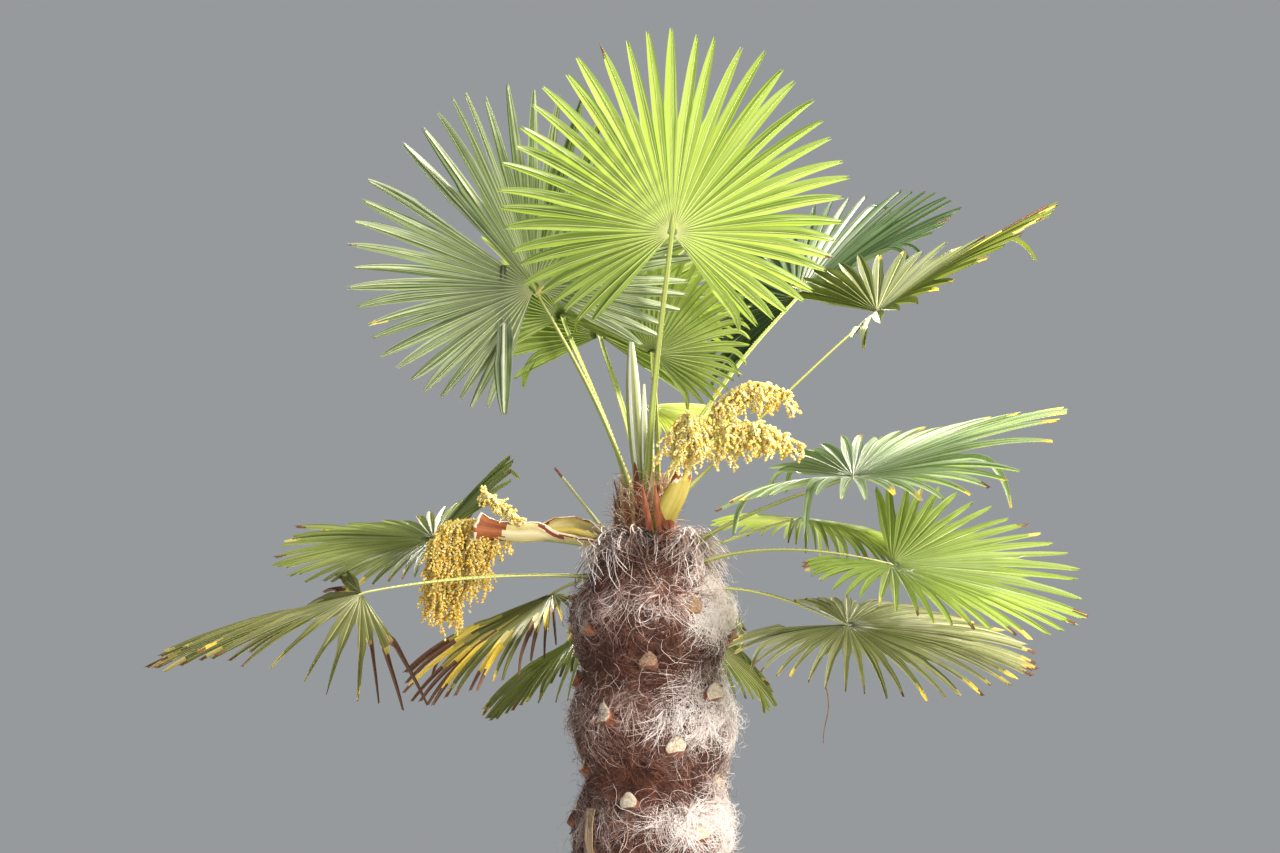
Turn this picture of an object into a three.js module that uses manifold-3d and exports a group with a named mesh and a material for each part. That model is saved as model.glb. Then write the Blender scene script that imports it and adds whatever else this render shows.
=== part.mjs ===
// Windmill palm: a fibre-clad trunk, a crown of fan-shaped fronds, one unopened leaf and two
// flower heads. Millimetres, +Z up. The origin is the centre of the flat cut at ground level.
// The crown is looked at along +Y, with +X to the right.

import * as THREE from 'three';
import { mergeVertices } from 'three/addons/utils/BufferGeometryUtils.js';
import Module from 'manifold-3d';

const wasm = await Module();
wasm.setup();

// Driving dimensions of the trunk
const TRUNK_HEIGHT = 1900;
const TRUNK_RADIUS = 152;
const TRUNK_FOOT_RADIUS = 140;
const TRUNK_FULL_HEIGHT = 900;
const TRUNK_SHOULDER_RADIUS = 128;
const TRUNK_TOP_RADIUS = 102;
const SHOULDER_HEIGHT = 70;
const SHOULDER_BLEND_HEIGHT = 154;
const ROOT_FLARE = 52;
const ROOT_FLARE_HEIGHT = 85;
const TRUNK_LEAN = 9;
const TRUNK_RINGS = 30;
const TRUNK_SIDES = 24;

// The trunk swells in tiers of old leaf bases and fibre, which are weaker near the ground,
// and it is uneven all round
const TIER_BULGE = 30;
const TIER_SPACING = 252;
const TIER_FULLEST_HEIGHT = 1477;
const TIER_FOOT_SHARE = 0.35;
const TIER_GROWTH_HEIGHTS = [150, 1300];
const BROAD_LUMP = { depth: 5, around: 3, rise: 95 };
const FINE_LUMP = { depth: 4, around: 5, rise: -60 };

// Driving dimensions of the cut leaf bases on the trunk, which climb it in a spiral
const STUB_COUNT = 22;
const STUB_TOP_HEIGHT = 1742;
const STUB_STEP = 74;
const STUB_TURN = 137.5 * 3;
const STUB_FIRST_COMPASS = -62;
const STUB_WIDTH = 54;
const STUB_THICKNESS = 24;
const STUB_REACH = 34;
const STUB_ROOTED_DEPTH = 45;
const STUB_UPWARD_LEAN = 0.9;
const STUB_END_TAPER = 0.25;

// Driving dimensions of the crown heart, the packed leaf bases that the fronds rise from
const HEART_RADIUS = 66;
const HEART_TOP_RADIUS = 44;
const HEART_HEIGHT = 135;
const HEART_OFFSET_X = -12;
const HEART_SIDES = 16;
const HEART_PROFILE = [[1, 0], [0.96, 0.4], [0.78, 0.78]];

// Driving dimensions shared by the fronds' blades
const LEAFLETS = 22;
const LEAFLET_STATIONS = 12;
const WIDEST_FREE_STATION = 9;
const FREE_WIDTH_SHARE = 0.62;
const UNEVEN_WIDTH = 0.2;
const EDGE_LEAFLET_SHARE = 0.7;
const SPLIT_SHARE = 0.5;
const BLADE_THICKNESS = 7;
const PLEAT_HEIGHT = 8;
const STALK_LENGTH = 26;
const STALK_BACK = 6;
const STALK_HALF_WIDTH = 5;
const CREASE_LEAN = 5;

// A leaflet stays nearly straight as far as the split and gives way to its weight beyond it
const STIFF_GIVE = 0.12;
const SPLIT_LEAD = 0.1;

// Driving dimensions shared by the fronds' petioles
const PETIOLE_BASE_HALF_WIDTH = 11;
const PETIOLE_TIP_HALF_WIDTH = 5;
const PETIOLE_FLATNESS = 0.62;
const PETIOLE_STEPS = 8;
const PETIOLE_FIRST_BEND = 0.4;
const PETIOLE_LAST_BEND = 0.14;
const SEAT_SHARE_IN_HEART = 0.75;
const SEAT_SHARE_IN_TRUNK = 0.7;
const MIDRIB_PULL = 0.5;

// Every piece stops this far short of the piece that carries it
const CLEARANCE = 0.32;

// Each frond: seat is its petiole's direction round the stem and its height there, rise the
// petiole's first slope, hub the point where the leaflets meet, midrib the way the blade
// points (compass angle from +X, then slope), tilts how far the left and right halves are
// raised (or lowered, below zero), curl how much further their outer leaflets are, reach the
// middle leaflet's length, shorten the part of it that the outermost ones lack, arc the
// spread of each half, and droop how far each half bends down. Angles are in degrees.
// A crease is the angles that it lies between and how far along the leaflets it breaks them.
const FRONDS = [
  {
    name: 'upper_right', seat: [-80, 1985], rise: 82, hub: [50, -175, 2595],
    midrib: [-78, 75], tilts: [0, 0], curl: [0, 0], reach: 475, shorten: [0.4, 0.42],
    arc: [140, 140], droop: [0.3, 0.3],
  },
  {
    name: 'upper_left', seat: [-140, 1980], rise: 72, hub: [-268, -60, 2482],
    midrib: [-150, 66], tilts: [52, -52], curl: [0, 0], reach: 480, shorten: [0.4, 0.38],
    arc: [140, 140], droop: [0.1, 0.15], creases: [[28, 40, 0.2]],
  },
  {
    name: 'young_left', seat: [165, 2000], rise: 76, hub: [-205, 80, 2427],
    midrib: [104, 76], tilts: [0, 0], curl: [0, 0], reach: 285, shorten: [0.4, 0.4],
    arc: [120, 115], droop: [0.2, 0.2],
  },
  {
    name: 'young_centre', seat: [115, 2015], rise: 80, hub: [-118, 160, 2390],
    midrib: [92, 68], tilts: [5, 5], curl: [0, 0], reach: 350, shorten: [0.4, 0.3],
    arc: [120, 130], droop: [0.2, 0.2],
  },
  {
    name: 'young_right', seat: [30, 2010], rise: 86, hub: [6, 2, 2332],
    midrib: [78, 78], tilts: [0, 0], curl: [0, 0], reach: 280, shorten: [0.4, 0.4],
    arc: [65, 140], droop: [0.3, 0.4],
  },
  {
    name: 'far_high', seat: [48, 1970], rise: 60, hub: [365, 520, 2517],
    midrib: [50, 41], tilts: [0, 4], curl: [-30, 30], reach: 500, shorten: [0.5, 0.6],
    arc: [140, 85], droop: [0.1, 0.15],
  },
  {
    name: 'right_high', seat: [-5, 1955], rise: 44, hub: [518, -160, 2416],
    midrib: [-7, 31], tilts: [9, -9], curl: [38, 0], reach: 490, shorten: [0.55, 0.5],
    arc: [126, 106], droop: [0.1, 0.1],
  },
  {
    name: 'right_middle', seat: [-30, 1880], rise: 30, hub: [461, -180, 2037],
    midrib: [-12, 20], tilts: [9, -22], curl: [20, 30], reach: 525, shorten: [0.4, 0.25],
    arc: [135, 140], droop: [0.2, 0.3],
  },
  {
    name: 'right_near', seat: [-28, 1835], rise: 22, hub: [542, -260, 1837],
    midrib: [-15, -16], tilts: [27, -10], curl: [8, 0], reach: 460, shorten: [0.5, 0.5],
    arc: [118, 135], droop: [0.0, 0.3],
  },
  {
    name: 'right_inner', seat: [12, 1870], rise: 20, hub: [358, 80, 1955],
    midrib: [35, -6], tilts: [0, -10], curl: [0, 0], reach: 330, shorten: [0.35, 0.35],
    arc: [120, 140], droop: [0.4, 1.4],
  },
  {
    name: 'right_low', seat: [-12, 1780], rise: 14, hub: [451, -110, 1703],
    midrib: [-18, -10], tilts: [12, -15], curl: [0, 0], reach: 455, shorten: [0.4, 0.32],
    arc: [135, 140], droop: [0.3, 0.45],
  },
  {
    name: 'left_low', seat: [176, 1812], rise: 6, hub: [-661, -100, 1775],
    midrib: [177, -17], tilts: [1, -5], curl: [-64, 60], reach: 525, shorten: [0.38, 1.7],
    arc: [108, 84], droop: [0.2, 0.2],
  },
  {
    name: 'left_back', seat: [140, 1865], rise: 18, hub: [-520, 300, 1913],
    midrib: [143, 7], tilts: [-18, 7], curl: [0, 58], reach: 402, shorten: [0.4, 0.45],
    arc: [125, 140], droop: [0.2, 0.1],
  },
  {
    name: 'left_drooping', seat: [130, 1815], rise: 12, hub: [-233, 300, 1783],
    midrib: [152, -20], tilts: [-28, 0], curl: [0, 0], reach: 440, shorten: [0.45, 0.8],
    arc: [115, 85], droop: [0.75, 0.3],
  },
  {
    name: 'behind_left', seat: [115, 1770], rise: 8, hub: [-140, 330, 1700],
    midrib: [143, -28], tilts: [-28, -10], curl: [0, 0], reach: 360, shorten: [0.4, 0.6],
    arc: [120, 70], droop: [0.4, 0.4],
  },
  {
    name: 'behind_right', seat: [62, 1780], rise: 8, hub: [125, 320, 1690],
    midrib: [65, -32], tilts: [-30, -30], curl: [0, 0], reach: 280, shorten: [0.5, 0.5],
    arc: [80, 110], droop: [0.4, 0.5],
  },
  {
    name: 'behind_flowers', seat: [75, 1965], rise: 50, hub: [-10, 350, 2240],
    midrib: [50, 3], tilts: [0, -25], curl: [0, 0], reach: 300, shorten: [0.4, 0.4],
    arc: [30, 130], droop: [0.3, 0.4],
  },
  {
    name: 'behind_high', seat: [97, 1985], rise: 66, hub: [-60, 310, 2480],
    midrib: [100, 58], tilts: [0, 0], curl: [0, 0], reach: 360, shorten: [0.4, 0.4],
    arc: [120, 120], droop: [0.4, 0.4],
  },
  {
    name: 'behind_hanging', seat: [90, 1835], rise: 16, hub: [25, 545, 1900],
    midrib: [85, -40], tilts: [-42, -42], curl: [0, 0], reach: 400, shorten: [0.6, 0.6],
    arc: [90, 90], droop: [0.4, 0.4],
  },
];

// The left flower head hangs from an arching stalk that its papery sheath still wraps, and a
// spike of flowers stands on the sheath. A head is a branch with strands along it: lengths are
// the strands' lengths at the branch's start, middle and end, spread how far they stand out,
// and bareShare the part of the branch that has none.
const LEFT_SHEATH_PATH = [
  [-60, -20, 1862],
  [-105, -14, 1892],
  [-150, -2, 1917],
  [-200, 8, 1926],
  [-300, 32, 1919],
  [-362, 42, 1926],
];
const LEFT_SHEATH_HALF_HEIGHT = 25;
const LEFT_HEADS = [
  {
    name: 'flowers_left',
    branch: [[-338, 40, 1924], [-408, 46, 1946], [-472, 50, 1934], [-508, 50, 1882]],
    strands: 9, lengths: [70, 262, 190], spread: 19, thickness: 18, bareShare: 0.06,
  },
  {
    name: 'flower_spike_left',
    branch: [[-286, 27, 1930], [-332, 22, 1974], [-388, 18, 2015]],
    strands: 3, lengths: [30, 26, 22], spread: 6, thickness: 11, bareShare: 0.35,
  },
];

// The right flower heads stand on a branching stalk that rises from an upright sheath
const RIGHT_SHEATH_PATH = [[14, -88, 1880], [30, -98, 1940], [58, -108, 2000], [84, -122, 2058]];
const RIGHT_SHEATH_HALF_WIDTH = 31;
const RIGHT_STALK_PATH = [[78, -119, 2036], [96, -138, 2080], [126, -155, 2122], [142, -160, 2150]];
const RIGHT_HEADS = [
  {
    name: 'flowers_right_near',
    branch: [[99, -140, 2084], [106, -182, 2150], [84, -194, 2176], [59, -190, 2122]],
    strands: 6, lengths: [90, 110, 80], spread: 14, thickness: 15, bareShare: 0.3,
  },
  {
    name: 'flowers_right_upper',
    branch: [[141, -160, 2146], [162, -166, 2205], [232, -174, 2250], [314, -178, 2228]],
    strands: 7, lengths: [66, 60, 50], spread: 13, thickness: 15, bareShare: 0.2,
  },
  {
    name: 'flowers_right_outer',
    branch: [[128, -156, 2124], [186, -190, 2152], [252, -200, 2152], [312, -200, 2120]],
    strands: 7, lengths: [100, 70, 50], spread: 14, thickness: 15, bareShare: 0.2,
  },
];
const SHEATH_SIDES = 8;
const SHEATH_STEPS = 8;
const SHEATH_FLATNESS = 0.42;
const SHEATH_SLIMMEST = 0.42;
const STALK_RADIUS = 9;
const STALK_TAPER = 2;
const FLOWER_BRANCH_RADIUS = 6.5;
const STRAND_TURN = 2.4;

// The unopened leaf is a pleated spear, and a dead frond has left its cut stalk
const SPEAR_PATH = [[-22, -4, 2020], [-36, -9, 2200], [-44, -12, 2362]];
const SPEAR_HALF_WIDTH = 13;
const SPEAR_PLEATS = 6;
const SPEAR_PLEAT_DEPTH = 0.3;
const CUT_STALK_PATH = [[-66, 32, 1870], [-140, 58, 1968], [-222, 80, 2072]];
const CUT_STALK_RADIUS = 7;
const CUT_STALK_TAPER = 3.2;

const radians = (degrees) => (degrees * Math.PI) / 180;
const vector = (x, y, z) => new THREE.Vector3(x, y, z);
const smooth = (from, to, value) => {
  const t = Math.min(1, Math.max(0, (value - from) / (to - from)));
  return t * t * (3 - 2 * t);
};

// A repeatable number from 0 to 1 for each seed
function chance(seed) {
  const wave = Math.sin(seed * 127.1 + 11.7) * 4375.85;
  return wave - Math.floor(wave);
}

function solidOf(geometry) {
  const bare = geometry.clone();
  bare.deleteAttribute('normal');
  bare.deleteAttribute('uv');
  const merged = mergeVertices(bare, 1e-3);
  return new wasm.Manifold(new wasm.Mesh({
    numProp: 3,
    vertProperties: new Float32Array(merged.attributes.position.array),
    triVerts: new Uint32Array(merged.index.array),
  }));
}

function geometryOf(solid) {
  const mesh = solid.getMesh();
  const geometry = new THREE.BufferGeometry();
  geometry.setAttribute('position', new THREE.BufferAttribute(mesh.vertProperties, 3));
  geometry.setIndex(new THREE.BufferAttribute(mesh.triVerts, 1));
  geometry.computeVertexNormals();
  return geometry;
}

function geometryFromFaces(points, faces) {
  const geometry = new THREE.BufferGeometry();
  const flat = points.flatMap((point) => [point.x, point.y, point.z]);
  geometry.setAttribute('position', new THREE.Float32BufferAttribute(flat, 3));
  geometry.setIndex(faces.flat());
  geometry.computeVertexNormals();
  return geometry;
}

const union = (solids) => solids.reduce((whole, next) => whole.add(next));

// The largest piece that is left after a cut; loose scraps are dropped
function mainPiece(solid) {
  const pieces = solid.decompose();
  return pieces.reduce((best, next) => (next.volume() > best.volume() ? next : best));
}

// A closed skin over rings that all have the same number of points
function skinRings(rings) {
  const count = rings[0].length;
  const points = rings.flat();
  const faces = [];
  for (let ring = 0; ring < rings.length - 1; ring += 1) {
    for (let side = 0; side < count; side += 1) {
      const a = ring * count + side;
      const b = ring * count + ((side + 1) % count);
      faces.push([a, b, b + count], [a, b + count, a + count]);
    }
  }
  const lastRing = (rings.length - 1) * count;
  for (let side = 1; side < count - 1; side += 1) {
    faces.push([0, side + 1, side]);
    faces.push([lastRing, lastRing + side, lastRing + side + 1]);
  }
  return geometryFromFaces(points, faces);
}

// A tapering limb along a curve. The section is a list of [across, up] points, anticlockwise
// as seen by someone who looks back down the limb, and size gives its half width along the way.
function limb(curve, section, steps, size, upHint) {
  const rings = [];
  for (let step = 0; step <= steps; step += 1) {
    const along = step / steps;
    const centre = curve.getPoint(along);
    const forward = curve.getTangent(along).normalize();
    const across = upHint(along).clone().cross(forward).normalize();
    const up = forward.clone().cross(across);
    const halfWidth = size(along);
    rings.push(section.map(([sideways, upward]) => centre.clone()
      .addScaledVector(across, sideways * halfWidth)
      .addScaledVector(up, upward * halfWidth)));
  }
  return skinRings(rings);
}

function roundSection(sides, flatness = 1) {
  const section = [];
  for (let side = 0; side < sides; side += 1) {
    const turn = (2 * Math.PI * side) / sides;
    section.push([Math.cos(turn), Math.sin(turn) * flatness]);
  }
  return section;
}

const lumpAt = (lump, height, turn) => lump.depth * Math.sin(lump.around * turn + height / lump.rise);

// Trunk radius: a column that swells in tiers, a rounded shoulder and a flare at the ground
function trunkRadius(height, turn) {
  const tier = 0.5 + 0.5 * Math.cos((2 * Math.PI * (height - TIER_FULLEST_HEIGHT)) / TIER_SPACING);
  const strength = TIER_FOOT_SHARE + (1 - TIER_FOOT_SHARE) * smooth(...TIER_GROWTH_HEIGHTS, height);
  const bulge = TIER_BULGE * strength * tier ** 0.8;
  const uneven = lumpAt(BROAD_LUMP, height, turn) + lumpAt(FINE_LUMP, height, turn);
  const flare = ROOT_FLARE * Math.exp(-height / ROOT_FLARE_HEIGHT);
  const column = TRUNK_FOOT_RADIUS
    + (TRUNK_RADIUS - TRUNK_FOOT_RADIUS) * smooth(0, TRUNK_FULL_HEIGHT, height);
  const full = column + bulge + uneven + flare;
  const shoulder = smooth(TRUNK_HEIGHT - SHOULDER_HEIGHT, TRUNK_HEIGHT, height);
  const top = TRUNK_SHOULDER_RADIUS + (TRUNK_TOP_RADIUS - TRUNK_SHOULDER_RADIUS) * shoulder;
  return full + (top - full) * smooth(TRUNK_HEIGHT - SHOULDER_BLEND_HEIGHT, TRUNK_HEIGHT - 20, height);
}

const trunkCentreX = (height) => TRUNK_LEAN * smooth(0, TRUNK_HEIGHT, height);

function trunkCore(margin) {
  const rings = [];
  for (let ring = 0; ring <= TRUNK_RINGS; ring += 1) {
    const height = (TRUNK_HEIGHT * ring) / TRUNK_RINGS;
    const level = ring === TRUNK_RINGS ? height + margin : height;
    const points = [];
    for (let side = 0; side < TRUNK_SIDES; side += 1) {
      const turn = (2 * Math.PI * side) / TRUNK_SIDES;
      const radius = trunkRadius(height, turn) + margin;
      points.push(vector(trunkCentreX(height) + radius * Math.cos(turn), radius * Math.sin(turn), level));
    }
    rings.push(points);
  }
  return solidOf(skinRings(rings));
}

// One cut leaf base: a flattened wedge that leans up and out of the trunk
function trunkStub(index, margin) {
  const height = STUB_TOP_HEIGHT - STUB_STEP * index;
  const turn = radians(STUB_TURN * index + STUB_FIRST_COMPASS);
  const outward = vector(Math.cos(turn), Math.sin(turn), 0);
  const rising = outward.clone().add(vector(0, 0, STUB_UPWARD_LEAN)).normalize();
  const centre = vector(trunkCentreX(height), 0, height);
  const start = centre.clone().addScaledVector(outward, trunkRadius(height, turn) - STUB_ROOTED_DEPTH);
  const length = STUB_ROOTED_DEPTH * 1.3 + STUB_REACH * (0.75 + 0.5 * chance(index));
  const path = new THREE.LineCurve3(start, start.clone().addScaledVector(rising, length));
  const width = STUB_WIDTH / 2 + margin;
  const thin = (STUB_THICKNESS / 2 + margin) / width;
  return solidOf(limb(path, roundSection(6, thin), 1, (along) => width * (1 - STUB_END_TAPER * along),
    () => vector(0, 0, 1)));
}

function trunkSolid(margin) {
  const stubs = [];
  for (let index = 0; index < STUB_COUNT; index += 1) {
    stubs.push(trunkStub(index, margin));
  }
  return union([trunkCore(margin), ...stubs]);
}

// The crown heart stands on the trunk's flat top
function heartSolid(margin) {
  const bottom = TRUNK_HEIGHT + CLEARANCE - margin;
  const top = TRUNK_HEIGHT + HEART_HEIGHT + margin;
  const outline = [
    new THREE.Vector2(0, bottom),
    ...HEART_PROFILE.map(([across, up]) => new THREE.Vector2(
      HEART_RADIUS * across + margin,
      bottom + HEART_HEIGHT * up,
    )),
    new THREE.Vector2(HEART_TOP_RADIUS + margin, top),
    new THREE.Vector2(0, top),
  ];
  const lathe = new THREE.LatheGeometry(outline, HEART_SIDES);
  lathe.rotateX(Math.PI / 2);
  lathe.translate(HEART_OFFSET_X, 0, 0);
  return solidOf(lathe);
}

// The three directions of a frond's blade: its midrib, its right-hand side and its upper face
function bladeAxes(frond) {
  const [compass, slope] = frond.midrib.map(radians);
  const midrib = vector(
    Math.cos(compass) * Math.cos(slope),
    Math.sin(compass) * Math.cos(slope),
    Math.sin(slope),
  );
  const right = vector(Math.sin(compass), -Math.cos(compass), 0);
  return { midrib, right, upper: right.clone().cross(midrib) };
}

// Each half reaches its full tilt this far from the midrib, and its full curl at the second angle
const FOLD_SPREAD = radians(30);
const CURL_SPREAD = radians(140);
const SIDE_BLEND = radians(50);

// The way a leaflet leaves the hub. Angle 0 is the midrib, and above zero is the right half.
function leafletDirection(frond, axes, angle) {
  const side = angle < 0 ? 0 : 1;
  const spread = Math.abs(angle);
  const tilt = radians(frond.tilts[side]) * Math.min(1, spread / FOLD_SPREAD)
    + radians(frond.curl[side]) * smooth(FOLD_SPREAD, CURL_SPREAD, spread);
  const outward = axes.right.clone().multiplyScalar((side * 2 - 1) * Math.cos(tilt))
    .addScaledVector(axes.upper, Math.sin(tilt));
  return axes.midrib.clone().multiplyScalar(Math.cos(spread))
    .addScaledVector(outward, Math.sin(spread));
}

// A leaflet's rib, from the hub to its tip, with the leaflet's width direction at each station.
// Past the split the rib bends down under its weight, and a broken leaflet hangs from its crease.
function leafletRib(frond, axes, angle) {
  const heading = leafletDirection(frond, axes, angle);
  const across = leafletDirection(frond, axes, angle + 0.01).sub(heading).normalize();
  const side = angle < 0 ? 0 : 1;
  const spread = Math.abs(angle) / radians(140);
  const reach = frond.reach * (1 - frond.shorten[side] * spread * spread);
  const ownSide = smooth(0, SIDE_BLEND, Math.abs(angle));
  const mean = (frond.droop[0] + frond.droop[1]) / 2;
  const droop = mean + (frond.droop[side] - mean) * ownSide;
  const crease = (frond.creases || []).find(([from, to]) => angle > radians(from) && angle < radians(to));
  const stations = [{ point: vector(...frond.hub), across: across.clone(), heading: heading.clone() }];
  const point = vector(...frond.hub);
  for (let station = 1; station <= LEAFLET_STATIONS; station += 1) {
    const along = (station - 0.5) / LEAFLET_STATIONS;
    const give = STIFF_GIVE + (1 - STIFF_GIVE) * smooth(SPLIT_SHARE - SPLIT_LEAD, 1, along);
    heading.z -= (droop * 2 * give) / LEAFLET_STATIONS;
    if (crease && along > crease[2]) {
      const fallen = across.clone().cross(heading).multiplyScalar(station > CREASE_LEAN ? 0 : -0.5);
      heading.copy(fallen).add(vector(0, 0, -1));
    }
    heading.normalize();
    across.addScaledVector(heading, -across.dot(heading)).normalize();
    point.addScaledVector(heading, reach / LEAFLET_STATIONS);
    stations.push({ point: point.clone(), across: across.clone(), heading: heading.clone() });
  }
  return stations;
}

// The blade: pleats that fan out from the hub, then free leaflets, each folded along its rib
// and cut from its neighbours down to the split. A short stalk behind the hub meets the petiole.
function bladeGeometry(frond) {
  const axes = bladeAxes(frond);
  const petioleEnd = petioleHeading(frond);
  const hub = vector(...frond.hub);
  const [leftArc, rightArc] = frond.arc.map(radians);
  const pitch = (leftArc + rightArc) / LEAFLETS;
    const splitStation = Math.round(SPLIT_SHARE * LEAFLET_STATIONS);
  const half = BLADE_THICKNESS / 2;
  const points = [];
  const faces = [];
  const add = (point) => points.push(point) - 1;
  const raised = (station, sideways, upward) => {
    const normal = station.across.clone().cross(station.heading);
    return station.point.clone().addScaledVector(station.across, sideways).addScaledVector(normal, upward);
  };

  const squared = (direction) => direction
    .addScaledVector(petioleEnd, -direction.dot(petioleEnd)).normalize();
  const leftSide = squared(leafletDirection(frond, axes, -Math.PI / 2));
  const rightSide = squared(leafletDirection(frond, axes, Math.PI / 2));
  const hubUp = squared(axes.upper.clone());
  const stalkRing = (back) => {
    const centre = hub.clone().addScaledVector(petioleEnd, -back);
    return [
      add(centre.clone().addScaledVector(hubUp, half)),
      add(centre.clone().addScaledVector(leftSide, STALK_HALF_WIDTH)),
      add(centre.clone().addScaledVector(hubUp, -half)),
      add(centre.clone().addScaledVector(rightSide, STALK_HALF_WIDTH)),
    ];
  };
  const top = add(hub.clone().addScaledVector(hubUp, half));
  const bottom = add(hub.clone().addScaledVector(hubUp, -half));

  const ribs = [];
  for (let index = 0; index < LEAFLETS; index += 1) {
    const angle = -leftArc + pitch * (index + 0.5);
    ribs.push(leafletRib(frond, axes, angle));
  }
  const halfWidth = frond.reach * SPLIT_SHARE * Math.tan(pitch / 2);
  const notches = [];
  for (let index = 0; index <= LEAFLETS; index += 1) {
    const before = ribs[Math.max(0, index - 1)][splitStation];
    const after = ribs[Math.min(LEAFLETS - 1, index)][splitStation];
    const edge = (index === LEAFLETS) - (index === 0);
    const outer = edge * halfWidth * EDGE_LEAFLET_SHARE;
    const middle = raised(before, outer, PLEAT_HEIGHT).add(raised(after, outer, PLEAT_HEIGHT));
    notches.push(add(middle.multiplyScalar(0.5)));
  }

  ribs.forEach((rib, index) => {
    const left = notches[index];
    const right = notches[index + 1];
    const inner = rib[splitStation];
    const outer = rib[WIDEST_FREE_STATION];
    const freeWidth = halfWidth * FREE_WIDTH_SHARE * (1 - UNEVEN_WIDTH * chance(index));
    const ribTop = add(raised(inner, 0, half));
    const ribBottom = add(raised(inner, 0, -half));
    const outerTop = add(raised(outer, 0, half * 0.8));
    const outerBottom = add(raised(outer, 0, -half * 0.8));
    const outerLeft = add(raised(outer, -freeWidth, PLEAT_HEIGHT * 0.7));
    const outerRight = add(raised(outer, freeWidth, PLEAT_HEIGHT * 0.7));
    const tip = add(rib[LEAFLET_STATIONS].point.clone());
    faces.push([top, ribTop, left], [top, right, ribTop]);
    faces.push([bottom, left, ribBottom], [bottom, ribBottom, right]);
    faces.push([left, ribTop, outerTop], [left, outerTop, outerLeft]);
    faces.push([ribTop, right, outerRight], [ribTop, outerRight, outerTop]);
    faces.push([left, outerBottom, ribBottom], [left, outerLeft, outerBottom]);
    faces.push([ribBottom, outerRight, right], [ribBottom, outerBottom, outerRight]);
    faces.push([outerLeft, outerTop, tip], [outerTop, outerRight, tip]);
    faces.push([outerBottom, outerLeft, tip], [outerRight, outerBottom, tip]);
  });

  const [backTop, backLeft, backBottom, backRight] = stalkRing(STALK_BACK);
  const end = stalkRing(STALK_LENGTH);
  const first = notches[0];
  const last = notches[LEAFLETS];
  faces.push([top, first, backLeft], [top, backLeft, backTop]);
  faces.push([first, bottom, backLeft], [backLeft, bottom, backBottom]);
  faces.push([last, top, backRight], [backRight, top, backTop]);
  faces.push([bottom, last, backRight], [bottom, backRight, backBottom]);
  const ring = [backTop, backLeft, backBottom, backRight];
  ring.forEach((corner, index) => {
    const next = (index + 1) % ring.length;
    faces.push([corner, ring[next], end[next]], [corner, end[next], end[index]]);
  });
  faces.push([end[0], end[1], end[2]], [end[0], end[2], end[3]]);
  return geometryFromFaces(points, faces);
}

// The petiole starts inside the stem, which trims it later, and curves up to the hub, where it
// comes round towards the line of the midrib
function petioleCurve(frond) {
  const [compassDegrees, height] = frond.seat;
  const compass = radians(compassDegrees);
  const outward = vector(Math.cos(compass), Math.sin(compass), 0);
  const inHeart = height > TRUNK_HEIGHT;
  const radius = inHeart
    ? HEART_TOP_RADIUS * SEAT_SHARE_IN_HEART
    : TRUNK_SHOULDER_RADIUS * SEAT_SHARE_IN_TRUNK;
  const start = vector(inHeart ? HEART_OFFSET_X : trunkCentreX(height), 0, height)
    .addScaledVector(outward, radius);
  const hub = vector(...frond.hub);
  const rise = radians(frond.rise);
  const leave = outward.clone().multiplyScalar(Math.cos(rise)).add(vector(0, 0, Math.sin(rise)));
  const span = start.distanceTo(hub);
  const bend = start.clone().addScaledVector(leave, span * PETIOLE_FIRST_BEND);
  const heading = hub.clone().sub(bend).normalize()
    .lerp(bladeAxes(frond).midrib, MIDRIB_PULL).normalize();
  const end = hub.clone().addScaledVector(heading, -(STALK_LENGTH + CLEARANCE));
  const before = end.clone().addScaledVector(heading, -span * PETIOLE_LAST_BEND);
  return new THREE.CubicBezierCurve3(start, bend, before, end);
}

function petioleHeading(frond) {
  return petioleCurve(frond).getTangent(1).normalize();
}

// Flat above and rounded below, as a leaf stalk is
const PETIOLE_SECTION = [
  [1, 0.2],
  [0, 0.1],
  [-1, 0.2],
  [-0.55, -PETIOLE_FLATNESS],
  [0.55, -PETIOLE_FLATNESS],
];

function petioleGeometry(frond) {
  const curve = petioleCurve(frond);
  const axes = bladeAxes(frond);
  const compass = radians(frond.seat[0]);
  const inward = vector(-Math.cos(compass), -Math.sin(compass), 1);
  const size = (along) => PETIOLE_TIP_HALF_WIDTH
    + (PETIOLE_BASE_HALF_WIDTH - PETIOLE_TIP_HALF_WIDTH) * (1 - along) ** 2;
  const upHint = (along) => inward.clone().lerp(axes.upper, smooth(0.3, 1, along));
  return limb(curve, PETIOLE_SECTION, PETIOLE_STEPS, size, upHint);
}

// A limb through given points
function stem(points, section, steps, size, hint) {
  const curve = new THREE.CatmullRomCurve3(points.map((point) => vector(...point)));
  return solidOf(limb(curve, section, steps, size, () => hint));
}

// A strand swells from its root to its middle and narrows to its tip
const strandSize = (radius) => (along) => radius
  * (0.45 + 0.55 * Math.sin(Math.PI * Math.min(1, along * 1.25)) - 0.25 * along * along);

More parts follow.
